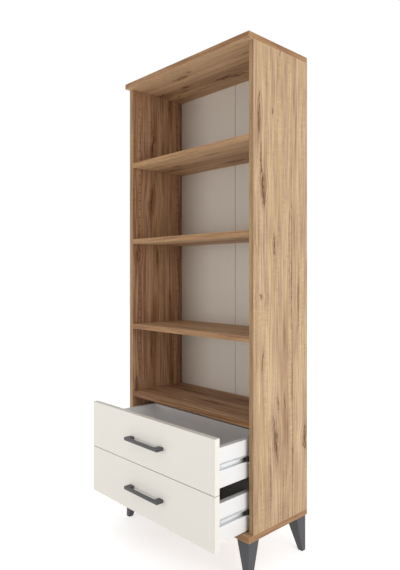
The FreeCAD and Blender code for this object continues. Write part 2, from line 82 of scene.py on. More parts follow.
# Kinds of node, and the operations of the nodes that reckon.
MATH = "ShaderNodeMath"
VECTOR = "ShaderNodeVectorMath"
NOISE = "ShaderNodeTexNoise"
CELLS = "ShaderNodeTexVoronoi"
RANGE = "ShaderNodeMapRange"
MIX = "ShaderNodeMix"
BUMP = "ShaderNodeBump"
MAPPING = "ShaderNodeMapping"
PLACES = "ShaderNodeTexCoord"
FACING = "ShaderNodeNewGeometry"
JOINED = "ShaderNodeCombineXYZ"
SPLIT = "ShaderNodeSeparateXYZ"
SPLIT_COLOR = "ShaderNodeSeparateColor"
GROUP = "ShaderNodeGroup"
MOVE = "GeometryNodeTransform"
CUT = "GeometryNodeMeshBoolean"
CYLINDER = "GeometryNodeMeshCylinder"
CONE = "GeometryNodeMeshCone"
TOGETHER = "GeometryNodeJoinGeometry"
OPERATIONS = {"+": "ADD", "-": "SUBTRACT", "*": "MULTIPLY", "/": "DIVIDE", "**": "POWER",
              ">": "GREATER_THAN", "<": "LESS_THAN", "max": "MAXIMUM", "min": "MINIMUM",
              "abs": "ABSOLUTE", "exp": "EXPONENT"}


# ---- colours, nodes and materials

def hex_color(code):
    """An sRGB hex colour as the linear values that Blender works in."""
    channels = (int(code[i:i + 2], 16) / 255 for i in (0, 2, 4))
    return tuple(c / 12.92 if c <= 0.04045 else ((c + 0.055) / 1.055) ** 2.4 for c in channels)


def rgba(color):
    return (*color[:3], 1.0)


def add(tree, kind, inputs=(), **settings):
    """Adds a node, sets its properties and gives its inputs their values or links. A node given as
    an input stands for its first output in use, a list holds several links for one input, and a
    colour gets its alpha."""
    made = tree.nodes.new(kind)
    for name, value in settings.items():
        setattr(made, name, value)
    for socket, given in dict(inputs).items():
        for value in given if isinstance(given, list) else [given]:
            if isinstance(value, Node):
                value = next(output for output in value.outputs if output.enabled)
            if isinstance(value, NodeSocket):
                tree.links.new(value, made.inputs[socket])
            elif made.inputs[socket].type == "RGBA":
                made.inputs[socket].default_value = rgba(value)
            else:
                made.inputs[socket].default_value = value
    return made


def chain(tree, value, *steps, kind=MATH):
    """Passes a value through nodes of one kind: each step is an operation and its other inputs."""
    for sign, *others in steps:
        value = add(tree, kind, enumerate((value, *others)), operation=OPERATIONS[sign])
    return value


def swing(tree, noise, weight, *steps):
    """A noise made to swing about 0, by a weight from its lowest to its highest."""
    return chain(tree, noise, ("-", 0.5), ("*", weight), *steps)


def lumps(tree, across, along, depth, size, detail):
    """Noise in lumps of a size across and along the grain, in metres. Each depth has its own."""
    point = add(tree, JOINED, {"X": chain(tree, across, ("/", size[0])),
                               "Y": chain(tree, along, ("/", size[1])), "Z": depth})
    return add(tree, NOISE, {"Vector": point, "Scale": 1.0, "Detail": detail})


def mottled(tree, color, *noises):
    """A colour that noises darken and lighten, each by a share to either side."""
    tone = 1.0
    for noise, share in noises:
        tone = chain(tree, noise, ("*", 2 * share), ("+", 1 - share), ("*", tone))
    return chain(tree, color, ("*", tone), kind=VECTOR)


def set_ramp(ramp, stops):
    """Gives a colour ramp its stops: places and linear colours."""
    elements = ramp.color_ramp.elements
    while len(elements) < len(stops):
        elements.new(1.0)
    for element, (place, color) in zip(elements, stops):
        element.position = place
        element.color = rgba(color)


def new_group(kind, name, takes, gives):
    """A node group. What it takes and gives is listed by name, with a default or a type."""
    tree = bpy.data.node_groups.new(name, kind)
    for direction, listed in (("INPUT", takes), ("OUTPUT", gives)):
        for label, value in listed.items():
            typed = isinstance(value, str)
            socket = tree.interface.new_socket(label, in_out=direction, socket_type="NodeSocket" + (
                value if typed else type(value).__name__.title()))
            if not typed:
                socket.default_value = value
    return tree, add(tree, "NodeGroupInput").outputs


def new_material(name):
    material = bpy.data.materials.new(name)
    material.use_nodes = True
    material.node_tree.nodes.clear()
    return material, material.node_tree


def finished(material, surface):
    """Ends a material with its shader, whose inputs are values or nodes."""
    shader = add(material.node_tree, "ShaderNodeBsdfPrincipled", surface)
    add(material.node_tree, "ShaderNodeOutputMaterial", {"Surface": shader})
    return material


def finish_node(material, *names):
    """Gives CAD nodes a finish, in the material slots that they came with."""
    for name in names:
        for slot in NODES[name].material_slots:
            slot.material = material


def rough_surface(tree, point, grain, height, roughness, spread):
    """A fine relief of one grain size, which the roughness follows: its noise and what the shader
    gets from it."""
    noise = add(tree, NOISE, {"Vector": point, "Scale": 1 / grain, "Detail": 3.0})
    bump = add(tree, BUMP, {"Height": noise, "Strength": 0.6, "Distance": height})
    level = add(tree, RANGE, {"Value": noise, "From Min": 0.3, "From Max": 0.7,
                              "To Min": roughness - spread, "To Max": roughness + spread})
    return noise, {"Normal": bump, "Roughness": level}


# ---- settings

Color = partial(FloatVectorProperty, subtype="COLOR")
Length = partial(FloatProperty, subtype="DISTANCE")


class OakSettings(PropertyGroup):
    pale: Color(name="Pale", description="Palest bands of the printed oak", default=hex_color("cdb28e"))
    light: Color(name="Light", description="Lightest flecks of the print", default=hex_color("ddc099"))
    straw: Color(name="Straw", description="Main colour of the printed oak", default=hex_color("bb9d7b"))
    rosy: Color(name="Rosy", description="Reddish bands of the printed oak", default=hex_color("a8896e"))
    brown: Color(name="Brown", description="Darkest bands of the printed oak", default=hex_color("8c6a4c"))
    crack: Color(name="Crack", description="Filled cracks and knots", default=hex_color("573a22"))
    # Painted shade: the oak boards' edges are printed darker and browner than their faces, because less
    # light falls on them.
    edge_tint: Color(name="Edge tint", description="What the edge bands' print is darkened by",
                     default=hex_color("ded4c5"))
    # Painted shade: the faces that look into the compartments are printed warmer and slightly darker.
    inner_tint: Color(name="Inner tint", description="What warms the print of the inner faces",
                      default=hex_color("fff5ef"))
    band: Length(name="Band", description="Width of the grain's broad bands", default=0.040, min=0.005)
    lamella: Length(name="Lamella", description="Width of the grain's sharp-edged strips", default=0.020,
                    min=0.005)
    streak: Length(name="Streak", description="Width of the narrow streaks of the grain", default=0.012,
                   min=0.002)
    line: Length(name="Line", description="Width of the lines of the grain", default=0.0055, min=0.001)
    fibre: Length(name="Fibre", description="Width of the fine fibre lines", default=0.0020, min=0.0005)
    # Painted highlight: the oak boards' edges are printed paler, in patches like rubbing.
    wear: FloatProperty(name="Wear", description="Paler rubbing along the boards' edges", subtype="FACTOR",
                        default=0.25, min=0, max=1)


class BoardSettings(PropertyGroup):
    cream: Color(name="Cream", description="Foil on the drawer fronts", default=hex_color("e9e5dc"))
    white: Color(name="White", description="Melamine on the drawer boxes", default=hex_color("e9e8e8"))
    greige: Color(name="Greige", description="Lacquer on the back boards", default=hex_color("c8bfb3"))
    fibreboard: Color(name="Fibreboard", description="Bare rear side of thin boards",
                      default=hex_color("8a6847"))
    chips: Color(name="Chips", description="Bare chipboard in holes and on rear edges",
                 default=hex_color("c6a271"))
    chip_size: Length(name="Chip size", description="Size of one wood chip", default=0.0028, min=0.0005)


class MetalSettings(PropertyGroup):
    zinc: Color(name="Zinc", description="Zinc plating on runners and screws", default=hex_color("dddfe0"))
    powder: Color(name="Powder coat", description="Coating of the handles", default=hex_color("3a393c"))
    leg: Color(name="Leg", description="Moulded plastic of the legs", default=hex_color("434348"))
    coat_grain: Length(name="Coat grain", description="Grain of the powder coat", default=0.0006,
                       min=0.0002)


class RunnerSettings(PropertyGroup):
    sheet: Length(name="Sheet", description="Thickness of the sheet steel", default=0.001, min=0.0005)
    bend: Length(name="Bend", description="Radius of the bends", default=0.0012)
    slot_length: Length(name="Slot length", description="Length of a punched slot", default=0.009)
    slot_width: Length(name="Slot width", description="Width of a punched slot", default=0.0045)
    rail_slots: IntProperty(name="Rail slots", description="Punched slots in a rail", default=5, min=2)
    slider_slots: IntProperty(name="Slider slots", description="Punched slots in a slider", default=3,
                              min=2)


class ScrewSettings(PropertyGroup):
    sides: IntProperty(name="Sides", description="Facets round a screw", default=20, min=8)
    pitch: FloatProperty(name="Pitch", description="Thread pitch as a share of the shank", default=0.42)
    core: FloatProperty(name="Core", description="Core of the thread as a share of the shank",
                        subtype="FACTOR", default=0.72)


class HandleSettings(PropertyGroup):
    edge: Length(name="Edge", description="Rounding of the handles' edges", default=0.0009)
    corner: Length(name="Corner", description="Rounding inside the bow", default=0.003)


class StageSettings(PropertyGroup):
    floor: Color(name="Floor", description="Colour of the studio floor", default=hex_color("f4f4f4"))
    ambient: FloatProperty(name="Ambient", description="Strength of the light from all sides", default=0.55)
    key: FloatProperty(name="Key", description="Power of the soft light on the right", unit="POWER",
                       default=105.0)
    fill: FloatProperty(name="Fill", description="Power of the soft light in front", unit="POWER",
                        default=52.0)


class BookcaseSettings(PropertyGroup):
    oak: PointerProperty(type=OakSettings)
    boards: PointerProperty(type=BoardSettings)
    metal: PointerProperty(type=MetalSettings)
    runners: PointerProperty(type=RunnerSettings)
    screws: PointerProperty(type=ScrewSettings)
    handles: PointerProperty(type=HandleSettings)
    stage: PointerProperty(type=StageSettings)


# ---- printed oak on chipboard

# How far a face's print is shifted by the way that the face is turned.
GRAIN_SHIFT = (3.1, 5.3, 7.7)
# A face is turned along an axis where its normal reaches this far.
FACE_LIMIT = 0.7
# The thickness of an edge band, the size of the patches of edge wear and painted edge highlight, and half a
# glue line's width.
EDGE_BAND = 0.0009
EDGE_CHIP = 0.0038
GLUE_LINE = 0.00015
# The edge bands' trimmed corner is 0.5 mm wide, which is too fine to show, so its highlight is painted on
# the face 2.6 mm wide.
FRONT_HIGHLIGHT_WIDTH = 0.0026
# Random marks have one seat in each cell of this size across and along the grain, and these are the
# steps from one sheet's cells to the next one's.
CELL_SIZE = (0.10, 0.55)
CELL_STEP = (7.3, 3.7)
# How the marks look: how many times narrower than the ring their core is and how torn, how far they
# wander in half widths, how quickly their halo fades and how dark it is, how far and how strongly the
# grain bends round them, and how far apart in the noise marks lie for each metre between them.
MARK_CORE, MARK_TEAR = 2.0, 3.6
MARK_WANDER = 2.0
HALO_FADE, HALO_TONE = 0.45, 0.10
BEND_FADE, BEND_STRENGTH = 0.07, 0.7
MARK_DEPTH = 31.0
MARK_SIZES = ("Centre Across", "Centre Along", "Half Width", "Half Length", "Lean")
# Which of the seats hold a mark, and its least half width and half length with what chance adds.
MARK_RARITY = 0.55
MARK_HALF_WIDTH = (0.0012, 0.004)
MARK_HALF_LENGTH = (0.014, 0.05)
# How much darker the glue line is, and how much the painted highlight at the trimmed corner lightens the
# face.
GLUE_SHADE, FRONT_HIGHLIGHT_LIFT = 0.3, 0.09
# The part of a band's half width at which it has its full tone.
BAND_CORE = 0.55
# The share of a hole's brightness that painted shade takes.
HOLE_SHADE = 0.6
# How far the grain drifts across itself, how long the lamellas are and how much they differ in tone, and
# how strongly the layers of noise change the tone, the shade and the warmth.
DRIFT = 0.026
LAMELLA_LENGTH, LAMELLA_TONE = 0.9, 0.065
TONE_WEIGHTS = {"bands": 0.17, "streaks": 0.20, "lines": 0.40, "fibres": 0.16}
PORE_SHADE, SAW_SHADE, WARMTH = 0.14, 0.40, 0.45
# Layers of the grain's noise: the width and length of its lumps, its detail, and its depth, which no
# other layer shares. Oak's growth lines are 1 to 2 mm wide, its fibres 0.5 mm and its pores 0.2 mm, and
# a saw's marks are 4 mm apart. They are too fine to show, so they are drawn as 5.5, 2, 1.8 and 7 mm.
GRAIN_LAYERS = {
    "drift": (0.12, 0.60, 1.0, 11.0), "pores": (0.0018, 0.026, 1.0, 7.0),
    "dark lines": (0.017, 0.9, 2.0, 9.0), "patches": (0.05, 0.20, 1.0, 13.0),
    "pale lines": (0.02, 1.6, 1.0, 17.0), "sawn": (0.03, 0.3, 1.0, 19.0),
    "saw marks": (0.030, 0.0070, 1.0, 15.0), "warmth": (0.014, 0.7, 2.0, 25.0)}


def mark_group():
    """A crack or knot in the grain: a torn dark core in a broken ring, round which the grain bends.
    Its inputs chain, so that a board can hold several."""
    tree, enter = new_group("ShaderNodeTree", "grain mark", {
        "Across": 0.0, "Along": 0.0, "Mask": 0.0, "Tone": 0.0, "Centre Across": 0.0, "Centre Along": 0.0,
        "Half Width": 0.003, "Half Length": 0.03, "Lean": 0.0, "Presence": 1.0},
        {"Bent Across": 0.0, "New Mask": 0.0, "New Tone": 0.0})
    across, along, presence = enter["Across"], enter["Along"], enter["Presence"]

    def ragged(size, shift):
        depth = chain(tree, enter["Centre Along"], ("*", MARK_DEPTH), ("+", shift))
        return lumps(tree, across, along, depth, size, detail=2.0)

    run = chain(tree, along, ("-", enter["Centre Along"]), ("/", enter["Half Length"]))
    wander = swing(tree, ragged((0.08, 0.030), 3.0), MARK_WANDER, ("*", enter["Half Width"]))
    lean = chain(tree, run, ("*", enter["Lean"]))
    off = chain(tree, across, ("-", enter["Centre Across"]), ("-", lean), ("-", wander))
    off_square = chain(tree, off, ("/", enter["Half Width"]), ("**", 2.0))
    run_square = chain(tree, run, ("**", 2.0))
    field = chain(tree, off_square, ("+", run_square))

    torn = swing(tree, ragged((0.0026, 0.012), 0.0), MARK_TEAR)
    core = add(tree, RANGE, {
        "Value": chain(tree, off_square, ("*", MARK_CORE ** 2), ("+", run_square), ("+", torn)),
        "From Min": 0.15, "From Max": 1.0, "To Min": 0.9, "To Max": 0.0}, interpolation_type="SMOOTHSTEP")
    ring = add(tree, RANGE, {
        "Value": chain(tree, field, ("-", 1.0), ("abs",)), "From Min": 0.05, "From Max": 0.6,
        "To Min": 0.75, "To Max": 0.0}, interpolation_type="SMOOTHSTEP")
    broken = add(tree, RANGE, {"Value": ragged((0.01, 0.03), 9.0), "From Min": 0.46, "From Max": 0.6})
    ring = chain(tree, ring, ("*", broken))
    mask = chain(tree, core, ("max", ring), ("*", presence), ("max", enter["Mask"]))
    halo = chain(tree, field, ("*", -HALO_FADE), ("exp",), ("*", presence))
    tone = chain(tree, halo, ("*", -HALO_TONE), ("+", enter["Tone"]))
    swell = chain(tree, off_square, ("*", BEND_FADE), ("+", run_square), ("*", -1.0), ("exp",),
                  ("*", presence), ("*", BEND_STRENGTH))
    bent = chain(tree, off, ("*", swell), ("*", -1.0), ("+", across))
    add(tree, "NodeGroupOutput", {"Bent Across": bent, "New Mask": mask, "New Tone": tone})
    return tree


def grain_group(oak):
    """The printed grain, from metres across and along it and a shift between sheets."""
    tree, enter = new_group("ShaderNodeTree", "oak print", {
        "Across": 0.0, "Along": 0.0, "Shift": 0.0, "Crack": 0.0, "Tone": 0.0},
        {"Color": "Color", "Height": 0.0})
    along = enter["Along"]
    layers = {"bands": (oak.band, 1.5, 1.0, 0.0), "streaks": (oak.streak, 0.40, 2.0, 3.0),
              "lines": (oak.line, 0.16, 2.0, 21.0), "fibres": (oak.fibre, 0.10, 2.0, 5.0), **GRAIN_LAYERS}

    def layer(name):
        width, length, detail, depth = layers[name]
        depth = chain(tree, enter["Shift"], ("+", depth))
        return lumps(tree, drifted, along, depth, (width, length), detail)

    drifted = enter["Across"]
    drifted = swing(tree, layer("drift"), DRIFT, ("+", enter["Across"]))
    strips = add(tree, CELLS, {"Scale": 1.0, "Vector": add(tree, JOINED, {
        "X": chain(tree, drifted, ("/", oak.lamella)),
        "Y": chain(tree, along, ("/", LAMELLA_LENGTH)), "Z": enter["Shift"]})})
    lamella = add(tree, SPLIT_COLOR, {0: strips.outputs["Color"]})
    tone = swing(tree, lamella, LAMELLA_TONE, ("+", 0.5), ("+", enter["Tone"]))
    for name, weight in TONE_WEIGHTS.items():
        tone = swing(tree, layer(name), weight, ("+", tone))
    ramp = add(tree, "ShaderNodeValToRGB", {"Fac": tone})
    set_ramp(ramp, [(0.35, oak.brown), (0.43, oak.rosy), (0.51, oak.straw), (0.62, oak.pale),
                    (0.75, oak.light)])

    pores = add(tree, RANGE, {"Value": layer("pores"), "From Min": 0.56, "From Max": 0.70})
    contour = chain(tree, layer("dark lines"), ("-", 0.5), ("abs",))
    dark_lines = add(tree, RANGE, {"Value": contour, "From Min": 0.022, "From Max": 0.0})
    patches = add(tree, RANGE, {"Value": layer("patches"), "From Min": 0.47, "From Max": 0.62,
                                "To Max": 0.6})
    vein = chain(tree, dark_lines, ("*", patches))
    contour = chain(tree, layer("pale lines"), ("-", 0.47), ("abs",))
    pale_lines = add(tree, RANGE, {"Value": contour, "From Min": 0.02, "From Max": 0.0, "To Max": 0.12})
    sawn = add(tree, RANGE, {"Value": layer("sawn"), "From Min": 0.45, "From Max": 0.6})
    saw = swing(tree, layer("saw marks"), SAW_SHADE, ("*", sawn))
    shade = chain(tree, pores, ("*", -PORE_SHADE), ("+", 1.0), ("+", pale_lines), ("+", saw))
    warmth = swing(tree, layer("warmth"), WARMTH, ("+", 1.0), ("*", shade))

    tint = add(tree, JOINED, {"X": shade, "Y": shade, "Z": warmth})
    grained = chain(tree, ramp, ("*", tint), kind=VECTOR)
    veined = add(tree, MIX, {"Factor": vein, "A": grained, "B": oak.brown}, data_type="RGBA")
    printed = add(tree, MIX, {"Factor": enter["Crack"], "A": veined, "B": oak.crack}, data_type="RGBA")
    height = chain(tree, pores, ("*", -1.0), ("+", 1.0), ("-", enter["Crack"]))
    add(tree, "NodeGroupOutput", {"Color": printed, "Height": height})
    return tree


def chip_color(tree, point, boards):
    """Bare chipboard: flat chips of several tans, pressed together."""
    chips = add(tree, CELLS, {"Vector": point, "Scale": 1 / boards.chip_size})
    shade = add(tree, RANGE, {"Value": add(tree, SPLIT_COLOR, {0: chips.outputs["Color"]}),
                              "To Min": 0.62, "To Max": 1.12})
    return chain(tree, boards.chips, ("*", shade), kind=VECTOR)


def board_zones(tree, point, low, high):
    """Two masks of a board: inside it, as in a hole or groove, and along its outer edges, where
    handling wears foil and the oak is given a painted highlight."""
    middle, core = (low + high) / 2, (high - low) / 2 - Vector((EDGE_BAND,) * 3)
    beyond = chain(tree, point, ("-", middle), ("abs",), ("-", core), kind=VECTOR)
    parts = add(tree, SPLIT, {0: beyond}).outputs
    inside = chain(tree, parts[0], ("max", parts[1]), ("max", parts[2]), ("<", 0.0))
    near_x, near_y, near_z = (chain(tree, part, ("/", EDGE_BAND), ("max", 0.0), ("min", 1.0))
                              for part in parts)
    chips = add(tree, NOISE, {"Vector": point, "Scale": 1 / EDGE_CHIP, "Detail": 2.0})
    edges = chain(tree, near_x, ("+", near_y), ("+", near_z), ("-", 1.0), ("max", 0.0), ("*", chips))
    return inside, edges


def chance_mark(tree, places, sheet, on_face):
    """What makes a random mark near places across and along the grain: its sizes and its presence."""
    cell = add(tree, JOINED, {
        axis: chain(tree, place, ("/", size), ("+", chain(tree, sheet, ("*", step))))
        for axis, place, size, step in zip("XY", places, CELL_SIZE, CELL_STEP)})
    scatter = add(tree, CELLS, {"Vector": cell, "Scale": 1.0, "Randomness": 0.75}, voronoi_dimensions="2D")
    seat = add(tree, SPLIT, {0: scatter.outputs["Position"]}).outputs
    here = add(tree, SPLIT, {0: cell}).outputs
    chance = add(tree, SPLIT_COLOR, {0: scatter.outputs["Color"]}).outputs
    centres = [chain(tree, seat[i], ("-", here[i]), ("*", size), ("+", place))
               for i, (size, place) in enumerate(zip(CELL_SIZE, places))]
    halves = [chain(tree, chance[i], ("*", more), ("+", least))
              for i, (least, more) in ((1, MARK_HALF_WIDTH), (2, MARK_HALF_LENGTH))]
    return {**dict(zip(MARK_SIZES, centres + halves)),
            "Presence": chain(tree, chance[0], (">", MARK_RARITY), ("*", on_face))}


def oak_board(node, along, shift, groups, settings, marks, bands):
    """Melamine-faced chipboard with a printed oak sheet on each face and thin plastic bands on its
    visible edges. The print has no relief but its pores, so it is evenly satin. The bare chipboard
    shows on its rear edge, and in its holes, where painted shade darkens it. The grain runs along X or Z.
    The faces that look into the compartments get a warmer tint, which is painted shade."""
    material, tree = new_material("oak print on chipboard, " + node.replace("_", " "))
    low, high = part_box(node)
    thickness = 2 if along == 0 else 0
    point = add(tree, PLACES).outputs["Object"]
    places = add(tree, SPLIT, {0: point}).outputs
    normal = add(tree, FACING).outputs["True Normal"]
    turned = add(tree, SPLIT, {0: normal}).outputs
    on_face, on_end = (chain(tree, turned[axis], ("abs",), (">", FACE_LIMIT))
                       for axis in (thickness, along))
    across = add(tree, MIX, {"Factor": on_face, "A": places[thickness], "B": places[1]})
    length = add(tree, MIX, {"Factor": on_end, "A": places[along], "B": places[1]})
    sheet = add(tree, VECTOR, {0: normal, 1: GRAIN_SHIFT}, operation="DOT_PRODUCT")
    sheet = chain(tree, sheet, ("+", shift))

    def facing(sign):
        if sign == 0:
            return chain(tree, on_face, ("<", 0.5))
        return chain(tree, turned[thickness], ("*", float(sign)), (">", FACE_LIMIT))

    # Tone bands: streaks of the print, and on some boards broad painted shade and painted light, as listed
    # below.
    tone = 0.0
    for sign, centre, half_width, change in bands:
        band = add(tree, RANGE, {
            "Value": chain(tree, across, ("-", centre * MM), ("abs",)), "From Min": half_width * MM,
            "From Max": half_width * MM * BAND_CORE, "To Max": change}, interpolation_type="SMOOTHSTEP")
        tone = chain(tree, band, ("*", facing(sign)), ("+", tone))

    mark = add(tree, GROUP, {"Across": across, "Along": length, "Tone": tone,
                             **chance_mark(tree, (across, length), sheet, on_face)},
               node_tree=groups["mark"])
    for sign, *sizes in marks:
        mark = add(tree, GROUP, {
            "Across": mark.outputs[0], "Along": length, "Mask": mark.outputs[1], "Tone": mark.outputs[2],
            **{label: size * MM for label, size in zip(MARK_SIZES, sizes)}, "Presence": facing(sign)},
            node_tree=groups["mark"])
    grain = add(tree, GROUP, {
        "Across": mark.outputs[0], "Along": length, "Shift": sheet, "Crack": mark.outputs[1],
        "Tone": mark.outputs[2]}, node_tree=groups["grain"]).outputs

    inside, edges = board_zones(tree, point, low, high)
    from_front = chain(tree, places[1], ("-", low.y))
    glue = chain(tree, from_front, ("-", EDGE_BAND), ("abs",), ("<", GLUE_LINE), ("*", on_face),
                 ("*", -GLUE_SHADE))
    # Painted highlight: the face is paler next to its trimmed front corner.
    front_highlight = chain(tree, from_front, ("<", FRONT_HIGHLIGHT_WIDTH), ("*", on_face), ("*", FRONT_HIGHLIGHT_LIFT))
    # Painted highlight along the edges and at the trimmed front corner, and the dark glue line.
    worn = chain(tree, edges, ("*", settings.oak.wear), ("+", 1.0), ("+", glue), ("+", front_highlight))
    # Painted shade: the faces that look into the compartments get a warmer tint.
    inward = 1.0 if along == 0 else facing(-math.copysign(1, low.x + high.x))
    # Painted shade: a darker, browner tint on the edges than on the faces.
    tint = add(tree, MIX, {"Factor": on_face, "A": settings.oak.edge_tint, "B": WHITE}, data_type="RGBA")
    inner_shade = add(tree, MIX, {"Factor": inward, "A": WHITE, "B": settings.oak.inner_tint}, data_type="RGBA")
    printed = chain(tree, grain["Color"], ("*", tint), ("*", inner_shade), ("*", worn), kind=VECTOR)
    bare = chain(tree, turned[1], (">", FACE_LIMIT), ("max", inside))
    # Painted shade: the bare chipboard in holes and grooves is darkened.
    hole_shaded = chain(tree, inside, ("*", -HOLE_SHADE), ("+", 1.0))
    chips = chain(tree, chip_color(tree, point, settings.boards), ("*", hole_shaded), kind=VECTOR)
    color = add(tree, MIX, {"Factor": bare, "A": printed, "B": chips}, data_type="RGBA")
    bump = add(tree, BUMP, {"Height": grain["Height"], "Strength": 0.35, "Distance": 0.0002})
    level = add(tree, RANGE, {"Value": grain["Height"], "To Min": 0.68, "To Max": 0.52})
    return finished(material, {"Base Color": color, "Normal": bump, "Roughness": level,
                               "Specular IOR Level": 0.2})


# Each mark: face sign, then its place across and along, half width, half length and lean in millimetres.
# Each band: face sign, or 0 for the edges, place across and half width in millimetres, and change of
# tone. The first number of a board is the shift of its print.
# On the undersides, the two broad bands that lighten the whole face are painted light from below; the
# narrow dark bands are streaks of the print.
UNDERSIDE_STREAKS_AND_LIGHT = (
    (-1, -30, 100, 0.09), (-1, 60, 300, 0.07), (-1, 98, 38, -0.12), (-1, 165, 50, -0.05),
    (-1, 20, 6, -0.06), (-1, 52, 4, -0.06), (-1, -12, 4, -0.05))
UPRIGHT_BOARDS = {
    "side_panel_right": (0.0, (
        (1, -16.5, 1400, 5, 56, 2.4), (1, 48, 1416, 4, 9, 0), (1, 0.5, 1178, 9.5, 60, -7.5),
        (1, -8, 1270, 3, 50, 0), (1, 56, 1003, 6, 34, 0), (1, -8, 844, 6, 8, 0),
        (1, 143, 930, 2.6, 200, 0), (1, 179, 812, 3.4, 80, 0), (1, 133, 1010, 2.6, 100, 0),
        (1, 0, 650, 3, 34, 4), (1, 75.5, 512, 4.8, 26, 0), (1, 56, 440, 6, 46, -4),
        (1, 68, 364, 5.5, 48, -3), (1, 148, 560, 2, 100, 0), (1, 38, 290, 2, 90, 0),
        (1, 150, 290, 2.6, 70, 0), (1, 215, 376, 10, 36, 0)), (
        (1, 107, 23, -0.035), (1, 50, 36, 0.025), (1, -26, 10, -0.02), (1, 152, 12, -0.035),
        (1, 205, 40, 0.03))),
    # The left panel's bands darken its inner face, which looks into the compartments: painted shade.
    "side_panel_left": (1.7, (
        (1, 49, 1195, 10, 62, 7.5), (1, -16.4, 990, 6, 26, 0), (1, -25.8, 484, 7, 34, 0),
        (1, 57, 1410, 8, 60, 0), (1, 50, 620, 4, 50, 0), (1, 80, 980, 4, 40, 0)), (
        (1, 60, 22, -0.07), (1, 150, 14, -0.06), (1, 205, 30, -0.05), (1, -5, 50, -0.045),
        (1, 80, 300, -0.045))),
}
FLAT_BOARDS = {
    "top_panel": (3.9, (
        (-1, 12, -85, 8, 36, 0), (-1, -3, -20, 5, 10, 0), (-1, 91, -137, 8, 16, 0),
        (-1, 135, -225, 5, 10, 0), (-1, 85, -280, 8, 35, 0), (-1, 130, 55, 11, 55, 8)), UNDERSIDE_STREAKS_AND_LIGHT),
    "base_panel": (5.2, (), ()),
    # The fixed shelf's bands darken its top face and its edges: painted shade, where little light reaches
    # above the drawers.
    "fixed_shelf": (6.6, (
        (1, 60, 50, 6, 70, 0), (1, 120, -120, 7, 60, 0), (1, 150, 150, 8, 70, 0)), (
        (1, 85, 300, -0.06), (1, 40, 30, -0.04), (1, 140, 50, -0.03), (0, 460, 300, -0.13))),
    "shelf_lower": (8.4, (), UNDERSIDE_STREAKS_AND_LIGHT),
    "shelf_middle": (9.3, ((-1, 30, 200, 6, 60, 0),), UNDERSIDE_STREAKS_AND_LIGHT),
    "shelf_upper": (11.8, (
        (-1, 155, 75, 10, 55, 0), (-1, 105, -220, 7, 32, 0), (-1, 60, -150, 6, 24, 0),
        (-1, 15, 80, 4, 40, 0)), UNDERSIDE_STREAKS_AND_LIGHT),
}


class BOOKCASE_OT_oak_boards(Operator):
    """Give the side panels, top, base and shelves their printed oak"""
    bl_idname = "bookcase.oak_boards"
    bl_label = "Oak Boards"

    def execute(self, context):
        settings = context.scene.bookcase
        groups = {"mark": mark_group(), "grain": grain_group(settings.oak)}
        for along, boards in ((2, UPRIGHT_BOARDS), (0, FLAT_BOARDS)):
            for node, (shift, marks, bands) in boards.items():
                finish_node(oak_board(node, along, shift, groups, settings, marks, bands), node)
        return {"FINISHED"}


# ---- thin boards and drawer boards

# How much handling darkens the edges of foil and melamine.
FOIL_WEAR = 0.12


def lacquered_hardboard(name, front, front_color, boards):
    """Thin hardboard, lacquered by a roller on one side and bare on the other: the lacquer has a
    faint drawn texture, and the bare side is brown and fibrous. front is the lacquered side."""
    material, tree = new_material(name)
    point = add(tree, PLACES).outputs["Object"]
    normal = add(tree, FACING).outputs["True Normal"]
    facing = add(tree, VECTOR, {0: normal, 1: front}, operation="DOT_PRODUCT")
    lacquered = chain(tree, facing, (">", 0.5))
    cloud = add(tree, NOISE, {"Vector": point, "Scale": 1 / (140 * MM), "Detail": 2.0})
    # Hardboard's fibres are 0.1 mm thick, which is too fine to show, so they are drawn as 1.1 mm.
    fibres = add(tree, NOISE, {"Vector": point, "Scale": 1 / (1.1 * MM), "Detail": 4.0})
    fibre_tone = add(tree, RANGE, {"Value": fibres, "From Min": 0.3, "From Max": 0.7,
                                   "To Min": 0.75, "To Max": 1.2})
    bare = chain(tree, boards.fibreboard, ("*", fibre_tone), kind=VECTOR)
    lacquer = mottled(tree, front_color, (cloud, 0.03))
    color = add(tree, MIX, {"Factor": lacquered, "A": bare, "B": lacquer}, data_type="RGBA")
    roughness = add(tree, RANGE, {"Value": lacquered, "To Min": 0.85, "To Max": 0.5})
    bump = add(tree, BUMP, {"Height": fibres, "Strength": 0.25, "Distance": 0.0001})
    return finished(material, {"Base Color": color, "Normal": bump, "Roughness": roughness})


def coated_board(name, node, color, boards, grain, roughness):
    """Chipboard in a plain foil or melamine, with a fine pearl texture pressed into it. Its bare
    core shows in grooves and holes."""
    material, tree = new_material(name + ", " + node.replace("_", " "))
    point = add(tree, PLACES).outputs["Object"]
    pearl, surface = rough_surface(tree, point, grain, 0.00006, roughness, spread=0.05)
    cloud = add(tree, NOISE, {"Vector": point, "Scale": 1 / (200 * MM), "Detail": 2.0})
    plain = mottled(tree, color, (pearl, 0.01), (cloud, 0.015))
    inside, edges = board_zones(tree, point, *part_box(node))
    wear = chain(tree, edges, ("*", -FOIL_WEAR), ("+", 1.0))
    worn = chain(tree, plain, ("*", wear), kind=VECTOR)
    mixed = add(tree, MIX, {"Factor": inside, "A": worn, "B": chip_color(tree, point, boards)},
                data_type="RGBA")
    return finished(material, {"Base Color": mixed, **surface})


def stretched_noise(tree, *sizes):
    """Noise in lumps of their own size along each axis, in metres."""
    point = add(tree, MAPPING, {"Vector": add(tree, PLACES).outputs["Object"],
                                "Scale": tuple(1 / size for size in sizes)})
    return add(tree, NOISE, {"Vector": point, "Scale": 1.0, "Detail": 2.0})


